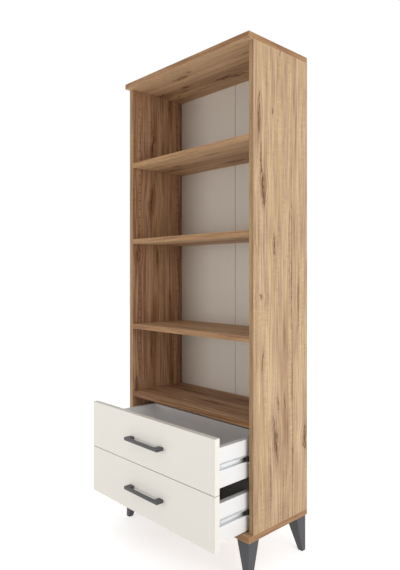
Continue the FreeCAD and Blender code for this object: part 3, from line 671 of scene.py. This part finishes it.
def crepe_tape(color):
    """Paper tape over the fold of the back: matt, with a crepe across it."""
    material, tree = new_material("crepe paper tape")
    crepe = stretched_noise(tree, 8 * MM, 8 * MM, 1.1 * MM)
    tone = add(tree, RANGE, {"Value": crepe, "To Min": 0.85, "To Max": 1.1})
    bump = add(tree, BUMP, {"Height": crepe, "Strength": 0.4, "Distance": 0.0001})
    paper = chain(tree, color, ("*", tone), kind=VECTOR)
    return finished(material, {"Base Color": paper, "Normal": bump, "Roughness": 0.8})


class BOOKCASE_OT_back_boards(Operator):
    """Give the thin back boards their lacquer and the tape behind their fold its paper"""
    bl_idname = "bookcase.back_boards"
    bl_label = "Back Boards"

    def execute(self, context):
        boards = context.scene.bookcase.boards
        lacquer = lacquered_hardboard("lacquered hardboard", (0, -1, 0), boards.greige, boards)
        finish_node(lacquer, "back_panel_left", "back_panel_right")
        finish_node(crepe_tape(hex_color("cdc3b5")), "back_fold_tape")
        return {"FINISHED"}


class BOOKCASE_OT_drawer_boards(Operator):
    """Give the drawer fronts their cream foil and the drawer boxes their white melamine"""
    bl_idname = "bookcase.drawer_boards"
    bl_label = "Drawer Boards"

    def execute(self, context):
        boards = context.scene.bookcase.boards
        bottom = lacquered_hardboard("white hardboard", (0, 0, 1), boards.white, boards)
        foil = ("cream foil on fibreboard", boards.cream, 0.0012, 0.48)
        melamine = ("white melamine", boards.white, 0.0016, 0.42)
        for drawer in DRAWERS:
            for part, (name, color, grain, roughness) in (
                    ("front", foil), ("side_left", melamine), ("side_right", melamine), ("back", melamine)):
                node = f"{drawer}_drawer_{part}"
                finish_node(coated_board(name, node, color, boards, grain, roughness), node)
            finish_node(bottom, drawer + "_drawer_bottom")
        return {"FINISHED"}


# ---- metals and mouldings

def zinc_plate(name, color, drawn=(1.0, 1.0, 1.0), roughness=0.34):
    """Zinc-plated steel: rolling or drawing marks run one way, and the plating is slightly cloudy."""
    material, tree = new_material(name)
    point = add(tree, PLACES).outputs["Object"]
    cloud = add(tree, NOISE, {"Vector": point, "Scale": 1 / (17 * MM), "Detail": 3.0})
    # Drawing marks are under 0.1 mm wide, which is too fine to show, so they are drawn as 1.1 mm.
    marks = add(tree, NOISE, {
        "Vector": add(tree, MAPPING, {"Vector": point, "Scale": tuple(d / (1.1 * MM) for d in drawn)}),
        "Scale": 1.0, "Detail": 2.0})
    level = swing(tree, marks, 0.25, ("+", roughness))
    bump = add(tree, BUMP, {"Height": marks, "Strength": 0.15, "Distance": 0.00005})
    return finished(material, {"Base Color": mottled(tree, color, (cloud, 0.08)), "Roughness": level,
                               "Normal": bump, "Metallic": 1.0})


def powder_coat(name, color, grain):
    """Black powder coat on die-cast zinc: fine, even and matt, a little paler where edges are worn."""
    material, tree = new_material(name)
    point = add(tree, PLACES).outputs["Object"]
    speck, surface = rough_surface(tree, point, grain, 0.00005, roughness=0.44, spread=0.08)
    worn = add(tree, RANGE, {"Value": add(tree, FACING).outputs["Pointiness"], "From Min": 0.52,
                             "From Max": 0.62, "To Min": 0.0, "To Max": 0.25})
    mixed = add(tree, MIX, {"Factor": worn, "A": mottled(tree, color, (speck, 0.15)),
                            "B": hex_color("77757a")}, data_type="RGBA")
    return finished(material, {"Base Color": mixed, **surface})


def moulded_plastic(name, color, roughness):
    """Injection-moulded plastic with a spark-eroded grain: matt, with a soft sheen. The grain is
    0.1 mm, which is too fine to show, so it is drawn as 0.8 mm."""
    material, tree = new_material(name)
    point = add(tree, PLACES).outputs["Object"]
    texture, surface = rough_surface(tree, point, 0.8 * MM, 0.00004, roughness, spread=0.06)
    return finished(material, {"Base Color": mottled(tree, color, (texture, 0.08)), **surface})


def turned_beech():
    """Turned beech dowel: pale, with short dark flecks along it."""
    material, tree = new_material("turned beech")
    ramp = add(tree, "ShaderNodeValToRGB", {"Fac": stretched_noise(tree, 1.1 * MM, 1.1 * MM, 5 * MM)})
    set_ramp(ramp, [(0.35, hex_color("a67c4f")), (0.55, hex_color("d3ae80"))])
    return finished(material, {"Base Color": ramp, "Roughness": 0.7})


class BOOKCASE_OT_legs(Operator):
    """Give the tapered legs their moulded plastic, and their plates and bolts their zinc"""
    bl_idname = "bookcase.legs"
    bl_label = "Legs"

    def execute(self, context):
        metal = context.scene.bookcase.metal
        plastic = moulded_plastic("moulded leg plastic", metal.leg, roughness=0.5)
        finish_node(plastic, *[f"leg_{end}_{side}" for end in ("front", "rear") for side in SIDES])
        finish_node(zinc_plate("zinc-plated leg steel", metal.zinc), "leg_plates", "leg_bolts")
        return {"FINISHED"}


# ---- meshes

# Edges that turn by more than this stay sharp in the shading.
SHARP_EDGE = math.radians(32)
# Corners that are nearer than this are one.
SAME_PLACE = 0.00001
# How deep a fastener's end is measured.
END_DEPTH = 0.0004


def new_piece(name, mesh, body, slot, *nodes):
    """A finished piece on its body, which stands for the CAD nodes that it replaces."""
    piece = bpy.data.objects.new(name, mesh)
    bpy.context.scene.collection.objects.link(piece)
    mesh.shade_smooth()
    mesh.set_sharp_from_angle(angle=SHARP_EDGE)
    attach(piece, body)
    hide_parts(*nodes)


def mesh_from(work, name):
    """Ends a bmesh as a plain mesh."""
    mesh = bpy.data.meshes.new(name)
    work.to_mesh(mesh)
    work.free()
    return mesh


def grow(tree, seed, values):
    """Runs a node tree on a seed mesh and returns the result as a plain mesh."""
    source = bpy.data.objects.new("seed", seed)
    bpy.context.scene.collection.objects.link(source)
    modifier = source.modifiers.new("Grow", "NODES")
    modifier.node_group = tree
    for item in tree.interface.items_tree:
        if item.in_out == "INPUT" and item.name in values:
            modifier[item.identifier] = values[item.name]
    graph = bpy.context.evaluated_depsgraph_get()
    mesh = bpy.data.meshes.new_from_object(source.evaluated_get(graph), depsgraph=graph)
    source.modifiers.remove(modifier)
    bpy.data.objects.remove(source)
    return mesh


def finish_tree(tree, enter, geometry):
    """The end of every tree: real geometry with its material."""
    real = add(tree, "GeometryNodeRealizeInstances", {0: geometry})
    painted = add(tree, "GeometryNodeSetMaterial", {"Geometry": real, "Material": enter["Material"]})
    add(tree, "NodeGroupOutput", {"Geometry": painted})


def islands(node):
    """The corners of each separate solid in a CAD node, from a merged copy of its mesh."""
    work = bmesh.new()
    work.from_mesh(NODES[node].data)
    bmesh.ops.remove_doubles(work, verts=work.verts, dist=SAME_PLACE)
    left, found = set(work.verts), []
    while left:
        reached, fresh = set(), [left.pop()]
        while fresh:
            vert = fresh.pop()
            reached.add(vert)
            near = {edge.other_vert(vert) for edge in vert.link_edges} & left
            left -= near
            fresh.extend(near)
        found.append([v.co.copy() for v in reached])
    work.free()
    return found


def reach(points, middle, axis, end):
    """How far the end of a fastener reaches from its axis."""
    offsets = [p - middle for p in points if abs(p[axis] - end[axis]) < END_DEPTH]
    return max(Vector([0 if i == axis else offset[i] for i in range(3)]).length for offset in offsets)


def seats(node):
    """Where each fastener of a node has its head's top, and the direction that it goes in."""
    places = []
    for points in islands(node):
        low, high = (Vector([pick(p[i] for p in points) for i in range(3)]) for pick in (min, max))
        size = high - low
        axis = max(range(3), key=lambda i: size[i])
        middle = (low + high) / 2
        head_low = reach(points, middle, axis, low) > reach(points, middle, axis, high)
        top = middle.copy()
        top[axis] = (low if head_low else high)[axis]
        into = Vector([0.0, 0.0, 0.0])
        into[axis] = 1.0 if head_low else -1.0
        places.append((top, into))
    return sorted(places, key=lambda place: tuple(place[0]))


def seat_mesh(places):
    """A mesh of one point for each fastener, which holds its direction."""
    mesh = bpy.data.meshes.new("seats")
    mesh.from_pydata([place for place, into in places], [], [])
    into = mesh.attributes.new("into", "FLOAT_VECTOR", "POINT")
    into.data.foreach_set("vector", [c for place, direction in places for c in direction])
    return mesh


# ---- screws

# The tip is seated this deep in the core, so that their ends don't meet in one plane.
TIP_SEAT = 0.00002
TIP_RADIUS = 0.0002
CORE_SIDES = 12
TURN_STEPS = 12
# Shares of the head's diameter and of its height.
SLOT_LENGTH, SLOT_WIDTH, HEX_RADIUS = 0.5, 0.13, 0.23
SLOT_DEPTH, CROSS_SLOT_DEPTH = 1.3, 1.2

SMALL_SCREW = {"Head Diameter": 0.0066, "Head Height": 0.0015, "Shank Diameter": 0.0035, "Length": 0.014}
BOX_SCREW = {"Head Diameter": 0.008, "Head Height": 0.003, "Shank Diameter": 0.005, "Length": 0.045,
             "Dome": 1.0}
HANDLE_SCREW = {"Head Diameter": 0.008, "Head Height": 0.0025, "Shank Diameter": 0.004, "Length": 0.030}
ASSEMBLY_SCREW = {"Head Diameter": 0.010, "Head Height": 0.0035, "Shank Diameter": 0.007,
                  "Length": 0.0465, "Dome": 1.0, "Socket Head": True}


def screw_tree():
    """A cross-head or socket screw at each point: a domed head with its recess, a core with a
    spiral thread and a tip. Each starts at its head's top and goes in along Z."""
    tree, enter = new_group("GeometryNodeTree", "threaded screw", {
        "Geometry": "Geometry", "Head Diameter": 0.0066, "Head Height": 0.0015, "Dome": 0.75,
        "Shank Diameter": 0.0035, "Length": 0.014, "Pitch": 0.0015, "Core": 0.72, "Sides": 20,
        "Socket Head": False, "Material": "Material"}, {"Geometry": "Geometry"})
    wide, tall, shank = enter["Head Diameter"], enter["Head Height"], enter["Shank Diameter"]

    def raised(geometry, *steps):
        """Geometry moved up to the head's height, and on by more steps."""
        height = add(tree, JOINED, {"Z": chain(tree, tall, *steps)})
        return add(tree, MOVE, {"Geometry": geometry, "Translation": height})

    head = add(tree, CONE, {
        "Vertices": enter["Sides"], "Side Segments": 3, "Radius Top": chain(tree, wide, ("*", 0.5)),
        "Radius Bottom": chain(tree, wide, ("*", 0.5), ("*", enter["Dome"])), "Depth": tall})
    long, narrow, key_radius = (
        chain(tree, wide, ("*", part)) for part in (SLOT_LENGTH, SLOT_WIDTH, HEX_RADIUS))
    deep, cross_deep = (chain(tree, tall, ("*", part)) for part in (SLOT_DEPTH, CROSS_SLOT_DEPTH))
    crossed = head
    for size in ((long, narrow, deep), (narrow, long, cross_deep)):
        bar = add(tree, "GeometryNodeMeshCube", {"Size": add(tree, JOINED, zip("XYZ", size))})
        crossed = add(tree, CUT, {"Mesh 1": crossed, "Mesh 2": bar}, operation="DIFFERENCE")
    key = add(tree, CYLINDER, {"Vertices": 6, "Radius": key_radius, "Depth": deep})
    keyed = add(tree, CUT, {"Mesh 1": head, "Mesh 2": key}, operation="DIFFERENCE")
    cut = add(tree, "GeometryNodeSwitch", {"Switch": enter["Socket Head"], "False": crossed,
                                           "True": keyed}, input_type="GEOMETRY")

    radius = chain(tree, shank, ("*", 0.5))
    core = chain(tree, radius, ("*", enter["Core"]))
    straight = chain(tree, enter["Length"], ("-", shank))
    rod = add(tree, CYLINDER, {"Vertices": CORE_SIDES, "Radius": core, "Depth": straight})
    rod = raised(rod, ("+", chain(tree, straight, ("*", 0.5))))
    tip = add(tree, CONE, {"Vertices": CORE_SIDES, "Radius Top": TIP_RADIUS, "Radius Bottom": core,
                           "Depth": shank})
    tip = raised(tip, ("+", straight), ("-", TIP_SEAT))
    spiral = add(tree, "GeometryNodeCurveSpiral", {
        "Resolution": TURN_STEPS, "Rotations": chain(tree, straight, ("/", enter["Pitch"])),
        "Start Radius": core, "End Radius": core, "Height": straight})
    ridge = add(tree, "GeometryNodeCurvePrimitiveCircle", {
        "Resolution": 3, "Radius": chain(tree, radius, ("-", core))})
    thread = raised(add(tree, "GeometryNodeCurveToMesh", {
        "Curve": spiral, "Profile Curve": ridge, "Fill Caps": True}))

    screw = add(tree, TOGETHER, {0: [thread, tip, rod, cut]})
    into = add(tree, "GeometryNodeInputNamedAttribute", {"Name": "into"}, data_type="FLOAT_VECTOR")
    finish_tree(tree, enter, add(tree, "GeometryNodeInstanceOnPoints", {
        "Points": add(tree, "GeometryNodeMeshToPoints", {"Mesh": enter["Geometry"]}), "Instance": screw,
        "Rotation": add(tree, "FunctionNodeAlignRotationToVector", {"Vector": into}, axis="Z")}))
    return tree


class BOOKCASE_OT_screws(Operator):
    """Make every screw with its head, recess and thread"""
    bl_idname = "bookcase.screws"
    bl_label = "Screws"

    def execute(self, context):
        settings = context.scene.bookcase
        options = settings.screws
        tree = screw_tree()
        zinc = zinc_plate("zinc-plated screw steel", settings.metal.zinc)
        kinds = {"rail_screws": ("carcass", SMALL_SCREW), "leg_plate_screws": ("carcass", SMALL_SCREW),
                 "carcass_screws": ("carcass", ASSEMBLY_SCREW)}
        for name in DRAWERS:
            body = name + "_drawer"
            kinds[body + "_slider_screws"] = (body, SMALL_SCREW)
            kinds[body + "_box_screws"] = (body, BOX_SCREW)
            kinds[body + "_handle_screws"] = (body, HANDLE_SCREW)
        for node, (body, sizes) in kinds.items():
            mesh = grow(tree, seat_mesh(seats(node)), {
                **sizes, "Pitch": sizes["Shank Diameter"] * options.pitch, "Core": options.core,
                "Sides": options.sides, "Material": zinc})
            new_piece(node.replace("screws", "threaded_screws"), mesh, body, "zinc_plated_steel", node)
        return {"FINISHED"}


# ---- ball runners

# Half of each member's profile, from its lip to its web, in millimetres: a place from the side panel
# and a depth under the member's top.
RAIL_PROFILE = ((8.9, 1.6), (8.9, 0.5), (0.5, 0.5))
SLIDER_PROFILE = ((4.9, 1.1), (7.9, 1.1), (9.0, 0.5), (12.5, 0.5))
# The first and the last slot of each member, from its front end.
RAIL_SLOTS = (0.045, 0.173)
SLIDER_SLOTS = (0.150, 0.180)
BEND_STEPS = 4
PUNCH_LENGTH = 0.006
SLOT_ROUNDING = 0.49
SLOT_CORNER_STEPS = 4


def rounded_path(corners, radius, steps):
    """A flat path through corners, with each inner corner rounded."""
    path = [Vector(corners[0])]
    for before, corner, after in zip(corners, corners[1:], corners[2:]):
        corner = Vector(corner)
        back, ahead = (Vector(before) - corner), (Vector(after) - corner)
        bend = math.pi - back.angle(ahead)
        cut = min(radius * math.tan(bend / 2), back.length / 2, ahead.length / 2)
        start, end = corner + back.normalized() * cut, corner + ahead.normalized() * cut
        for i in range(steps + 1):
            t = i / steps
            path.append(start * (1 - t) ** 2 + corner * 2 * t * (1 - t) + end * t ** 2)
    return path + [Vector(corners[-1])]


def strip(path, thickness):
    """The outline of a bent strip of even thickness about a flat path."""
    sides = []
    for i, place in enumerate(path):
        ahead = (path[min(i + 1, len(path) - 1)] - path[max(i - 1, 0)]).normalized()
        sides.append((place, Vector((-ahead.y, ahead.x)) * thickness / 2))
    return [p + s for p, s in sides] + [p - s for p, s in reversed(sides)]


def drawn_out(tree, face, offset):
    """A closed bar, from a flat face that is drawn out by an offset."""
    bar = add(tree, "GeometryNodeExtrudeMesh", {"Mesh": face, "Offset": offset, "Offset Scale": 1.0,
                                                "Individual": False}, mode="FACES")
    near_end = add(tree, "GeometryNodeFlipFaces", {0: face})
    whole = add(tree, TOGETHER, {0: [bar, near_end]})
    return add(tree, "GeometryNodeMergeByDistance", {"Geometry": whole, "Distance": SAME_PLACE})


def runner_tree():
    """A length of bent sheet: the profile is drawn out along Y, and a row of slots is punched
    through its web, which lies across X."""
    tree, enter = new_group("GeometryNodeTree", "punched runner", {
        "Geometry": "Geometry", "Length": 0.214, "Web": "Vector", "Slot Length": 0.009,
        "Slot Width": 0.0045, "Slots": 5, "Slot Step": "Vector", "Material": "Material"},
        {"Geometry": "Geometry"})
    member = drawn_out(tree, enter["Geometry"], add(tree, JOINED, {"Y": enter["Length"]}))
    outline = add(tree, "GeometryNodeCurvePrimitiveQuadrilateral", {
        "Width": enter["Slot Length"], "Height": enter["Slot Width"]})
    rounding = chain(tree, enter["Slot Width"], ("*", SLOT_ROUNDING))
    outline = add(tree, "GeometryNodeFilletCurve", {
        "Curve": outline, "Radius": rounding, "Count": SLOT_CORNER_STEPS}, mode="POLY")
    face = add(tree, "GeometryNodeFillCurve", {"Curve": outline}, mode="NGONS")
    punch = drawn_out(tree, face, (0.0, 0.0, PUNCH_LENGTH))
    punch = add(tree, MOVE, {"Geometry": punch, "Translation": (0.0, 0.0, -PUNCH_LENGTH / 2)})
    punch = add(tree, MOVE, {"Geometry": punch, "Rotation": (math.pi / 2, 0.0, math.pi / 2)})
    row = add(tree, "GeometryNodeMeshLine", {"Count": enter["Slots"], "Start Location": enter["Web"],
                                             "Offset": enter["Slot Step"]})
    punches = add(tree, "GeometryNodeInstanceOnPoints", {
        "Points": add(tree, "GeometryNodeMeshToPoints", {"Mesh": row}), "Instance": punch})
    punches = add(tree, "GeometryNodeRealizeInstances", {0: punches})
    finish_tree(tree, enter, add(tree, CUT, {"Mesh 1": member, "Mesh 2": punches}, operation="DIFFERENCE"))
    return tree


def runner_member(node, sign, half_profile, slots, count, tree, options, material):
    """One member of a runner, where its CAD node is, with a number of slots from the first place to
    the last."""
    low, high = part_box(node)
    middle = (low.z + high.z) / 2
    panel = sign * (WIDTH / 2 - BOARD)
    rise = (high.z - low.z) / 2 / MM
    profile = [(x, rise - depth) for x, depth in half_profile]
    profile += [(x, -z) for x, z in reversed(profile)]
    outline = strip(rounded_path(profile, options.bend / MM, BEND_STEPS), options.sheet / MM)
    work = bmesh.new()
    face = work.faces.new([work.verts.new((panel - sign * p.x * MM, low.y, middle + p.y * MM))
                           for p in outline])
    face.normal_update()
    if face.normal.y < 0:
        face.normal_flip()
    first, last = slots
    web = half_profile[-1][0]
    return grow(tree, mesh_from(work, "runner profile"), {
        "Length": high.y - low.y, "Web": (panel - sign * web * MM, low.y + first, middle),
        "Slot Length": options.slot_length, "Slot Width": options.slot_width, "Slots": count,
        "Slot Step": (0.0, (last - first) / (count - 1), 0.0), "Material": material})


def add_rail_stop(mesh, node, sign, sheet):
    """A tab across the rear end of a rail, which stops the slider."""
    low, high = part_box(node)
    depth, height = high.x - low.x - sheet, high.z - low.z - 2 * sheet
    inner = sign * (WIDTH / 2 - BOARD - sheet)
    work = bmesh.new()
    work.from_mesh(mesh)
    tab = bmesh.ops.create_cube(work, size=1.0)["verts"]
    bmesh.ops.scale(work, vec=(depth, sheet, height), verts=tab)
    bmesh.ops.translate(work, verts=tab, vec=(inner - sign * depth / 2, high.y - sheet / 2,
                                              (low.z + high.z) / 2))
    work.to_mesh(mesh)
    work.free()


class BOOKCASE_OT_runners(Operator):
    """Make the bent and punched members of the ball runners, and finish their balls and cages"""
    bl_idname = "bookcase.runners"
    bl_label = "Ball Runners"

    def execute(self, context):
        settings = context.scene.bookcase
        options = settings.runners
        zinc = zinc_plate("zinc-plated runner steel", settings.metal.zinc, drawn=(1.0, 0.02, 1.0))
        cage = moulded_plastic("moulded cage plastic", hex_color("1d1d1f"), roughness=0.4)
        ball = zinc_plate("bearing steel", hex_color("dcdde0"), roughness=0.12)
        tree = runner_tree()
        for name in DRAWERS:
            drawer = name + "_drawer"
            for side, sign in SIDES.items():
                rail, slider = f"{name}_rail_{side}", f"{drawer}_slider_{side}"
                bent_rail = runner_member(rail, sign, RAIL_PROFILE, RAIL_SLOTS, options.rail_slots,
                                          tree, options, zinc)
                add_rail_stop(bent_rail, rail, sign, options.sheet)
                new_piece(f"{name}_bent_rail_{side}", bent_rail, "carcass", "zinc_plated_steel", rail)
                bent_slider = runner_member(slider, sign, SLIDER_PROFILE, SLIDER_SLOTS,
                                            options.slider_slots, tree, options, zinc)
                new_piece(f"{name}_bent_slider_{side}", bent_slider, drawer, "zinc_plated_steel", slider)
            finish_node(cage, name + "_ball_cages")
            finish_node(ball, name + "_balls")
        return {"FINISHED"}


# ---- handles

HANDLE_FOOT = 21 * MM
HANDLE_BAR = 8 * MM
HANDLE_CORNER_STEPS = 5
# Edges that turn by more than this angle, in radians, are rounded.
ROUNDED_EDGE = 0.6


class BOOKCASE_OT_handles(Operator):
    """Make the cast bow handles: a flat bar between two broad feet, softly rounded"""
    bl_idname = "bookcase.handles"
    bl_label = "Handles"

    def execute(self, context):
        settings = context.scene.bookcase
        options = settings.handles
        coat = powder_coat("black powder coat", settings.metal.powder, settings.metal.coat_grain)
        for name in DRAWERS:
            node = name + "_drawer_handle"
            low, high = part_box(node)
            outside = [(low.x, high.y), (low.x, low.y), (high.x, low.y), (high.x, high.y)]
            inner = [(high.x - HANDLE_FOOT, high.y), (high.x - HANDLE_FOOT, low.y + HANDLE_BAR),
                     (low.x + HANDLE_FOOT, low.y + HANDLE_BAR), (low.x + HANDLE_FOOT, high.y)]
            outline = outside + rounded_path(inner, options.corner, HANDLE_CORNER_STEPS)
            work = bmesh.new()
            face = work.faces.new([work.verts.new((*p, low.z)) for p in outline])
            top = bmesh.ops.extrude_face_region(work, geom=[face])["geom"]
            bmesh.ops.translate(work, vec=(0, 0, high.z - low.z),
                                verts=[v for v in top if isinstance(v, bmesh.types.BMVert)])
            bmesh.ops.recalc_face_normals(work, faces=work.faces)
            sharp = [e for e in work.edges if e.calc_face_angle(0) > ROUNDED_EDGE
                     and not all(abs(v.co.y - high.y) < SAME_PLACE for v in e.verts)]
            bmesh.ops.bevel(work, geom=sharp, offset=options.edge, segments=3, profile=0.5, affect="EDGES")
            mesh = mesh_from(work, name + " bow handle")
            mesh.materials.append(coat)
            new_piece(name + "_bow_handle", mesh, name + "_drawer", "black_handle", node)
        return {"FINISHED"}


# ---- hidden fittings

class BOOKCASE_OT_fittings(Operator):
    """Finish the cams, dowels, shelf pins and screw caps"""
    bl_idname = "bookcase.fittings"
    bl_label = "Fittings"

    def execute(self, context):
        cast = zinc_plate("die-cast zinc", hex_color("b4b5b8"), roughness=0.45)
        bolt = zinc_plate("zinc-plated bolt steel", context.scene.bookcase.metal.zinc)
        for place in ("shelf", "lower_drawer", "upper_drawer"):
            finish_node(cast, place + "_cam_locks")
            finish_node(bolt, place + "_cam_bolts")
        finish_node(bolt, "shelf_pins")
        finish_node(turned_beech(), "dowels")
        finish_node(moulded_plastic("screw cap plastic", hex_color("c09c74"), roughness=0.5), "screw_caps")
        return {"FINISHED"}


# ---- stage

CAMERA_PLACE = (1.3462, -1.2424, 0.911)
CAMERA_TURN = (math.radians(90), 0, math.radians(46.54))
LENS = 33.59
LENS_SHIFT = -0.0181
LAMP_TARGET = (0.0, 0.0, 0.8)
KEY_PLACE, KEY_SIZE = (4.4, -0.3, 1.0), (3.0, 2.2)
FILL_PLACE, FILL_SIZE = (-1.5, -3.9, 0.85), (2.4, 1.6)
FLOOR_RADIUS = 14.0
FLOOR_GLOW = 0.55


def area_light(name, place, size, power):
    lamp = bpy.data.lights.new(name, "AREA")
    lamp.shape = "RECTANGLE"
    lamp.size, lamp.size_y = size
    lamp.energy = power
    lamp_object = bpy.data.objects.new(name, lamp)
    lamp_object.location = place
    aim = Vector(LAMP_TARGET) - Vector(place)
    lamp_object.rotation_euler = aim.to_track_quat("-Z", "Y").to_euler()
    bpy.context.scene.collection.objects.link(lamp_object)


def seen_or_mirrored(tree):
    """1 for what the camera sees straight, in gloss or through glass, and 0 for light on things."""
    ray = add(tree, "ShaderNodeLightPath").outputs
    return chain(tree, ray["Is Camera Ray"], ("max", ray["Is Glossy Ray"]),
                 ("max", ray["Is Transmission Ray"]))


class BOOKCASE_OT_stage(Operator):
    """Set the camera, the soft lamps, the white surroundings and the pale floor"""
    bl_idname = "bookcase.stage"
    bl_label = "Stage"

    def execute(self, context):
        scene = context.scene
        options = scene.bookcase.stage
        scene.view_settings.view_transform = "Standard"

        lens = bpy.data.cameras.new("camera")
        lens.sensor_width = 36.0
        lens.lens = LENS
        lens.shift_y = LENS_SHIFT
        camera = bpy.data.objects.new("camera", lens)
        camera.location = CAMERA_PLACE
        camera.rotation_euler = CAMERA_TURN
        scene.collection.objects.link(camera)
        scene.camera = camera

        world = bpy.data.worlds.new("white studio")
        world.use_nodes = True
        scene.world = world
        tree = world.node_tree
        tree.nodes.clear()
        strength = add(tree, RANGE, {"Value": seen_or_mirrored(tree), "To Min": options.ambient,
                                     "To Max": 1.0})
        background = add(tree, "ShaderNodeBackground", {"Color": WHITE, "Strength": strength})
        add(tree, "ShaderNodeOutputWorld", {"Surface": background})

        area_light("key on the right", KEY_PLACE, KEY_SIZE, options.key)
        area_light("fill in front", FILL_PLACE, FILL_SIZE, options.fill)

        work = bmesh.new()
        bmesh.ops.create_circle(work, cap_ends=True, radius=FLOOR_RADIUS, segments=64)
        floor = bpy.data.objects.new("studio_floor", mesh_from(work, "studio floor"))
        scene.collection.objects.link(floor)
        material, tree = new_material("pale studio floor")
        glow = add(tree, RANGE, {"Value": seen_or_mirrored(tree), "To Min": 0.0, "To Max": FLOOR_GLOW})
        floor.data.materials.append(finished(material, {
            "Base Color": options.floor, "Roughness": 0.9, "Specular IOR Level": 0.1,
            "Emission Color": WHITE, "Emission Strength": glow}))
        return {"FINISHED"}


# ---- panel and registration

class BOOKCASE_PT_panel(Panel):
    """Sizes, colours and makers of the bookcase"""
    bl_idname = "BOOKCASE_PT_panel"
    bl_label = "Bookcase"
    bl_space_type = "VIEW_3D"
    bl_region_type = "UI"
    bl_category = "Bookcase"

    def draw(self, context):
        settings = context.scene.bookcase
        for title, group, operators in PANEL_ROWS:
            box = self.layout.box()
            box.label(text=title)
            options = getattr(settings, group)
            for name in options.__annotations__:
                box.prop(options, name)
            for operator in operators:
                box.operator(operator.bl_idname)


PANEL_ROWS = (
    ("Stage", "stage", (BOOKCASE_OT_stage,)),
    ("Oak", "oak", (BOOKCASE_OT_oak_boards,)),
    ("Plain boards", "boards", (BOOKCASE_OT_back_boards, BOOKCASE_OT_drawer_boards)),
    ("Metal and plastic", "metal", (BOOKCASE_OT_legs, BOOKCASE_OT_fittings)),
    ("Runners", "runners", (BOOKCASE_OT_runners,)),
    ("Screws", "screws", (BOOKCASE_OT_screws,)),
    ("Handles", "handles", (BOOKCASE_OT_handles,)),
)
OPERATORS = [operator for title, group, operators in PANEL_ROWS for operator in operators]
CLASSES = [OakSettings, BoardSettings, MetalSettings, RunnerSettings, ScrewSettings, HandleSettings,
           StageSettings, BookcaseSettings, *OPERATORS, BOOKCASE_PT_panel]


def register():
    for kind in CLASSES:
        bpy.utils.register_class(kind)
    bpy.types.Scene.bookcase = PointerProperty(type=BookcaseSettings)


def unregister():
    del bpy.types.Scene.bookcase
    for kind in reversed(CLASSES):
        bpy.utils.unregister_class(kind)


def main():
    register()
    for operator in OPERATORS:
        section, name = operator.bl_idname.split(".")
        getattr(getattr(bpy.ops, section), name)()


if __name__ == "__main__":
    main()
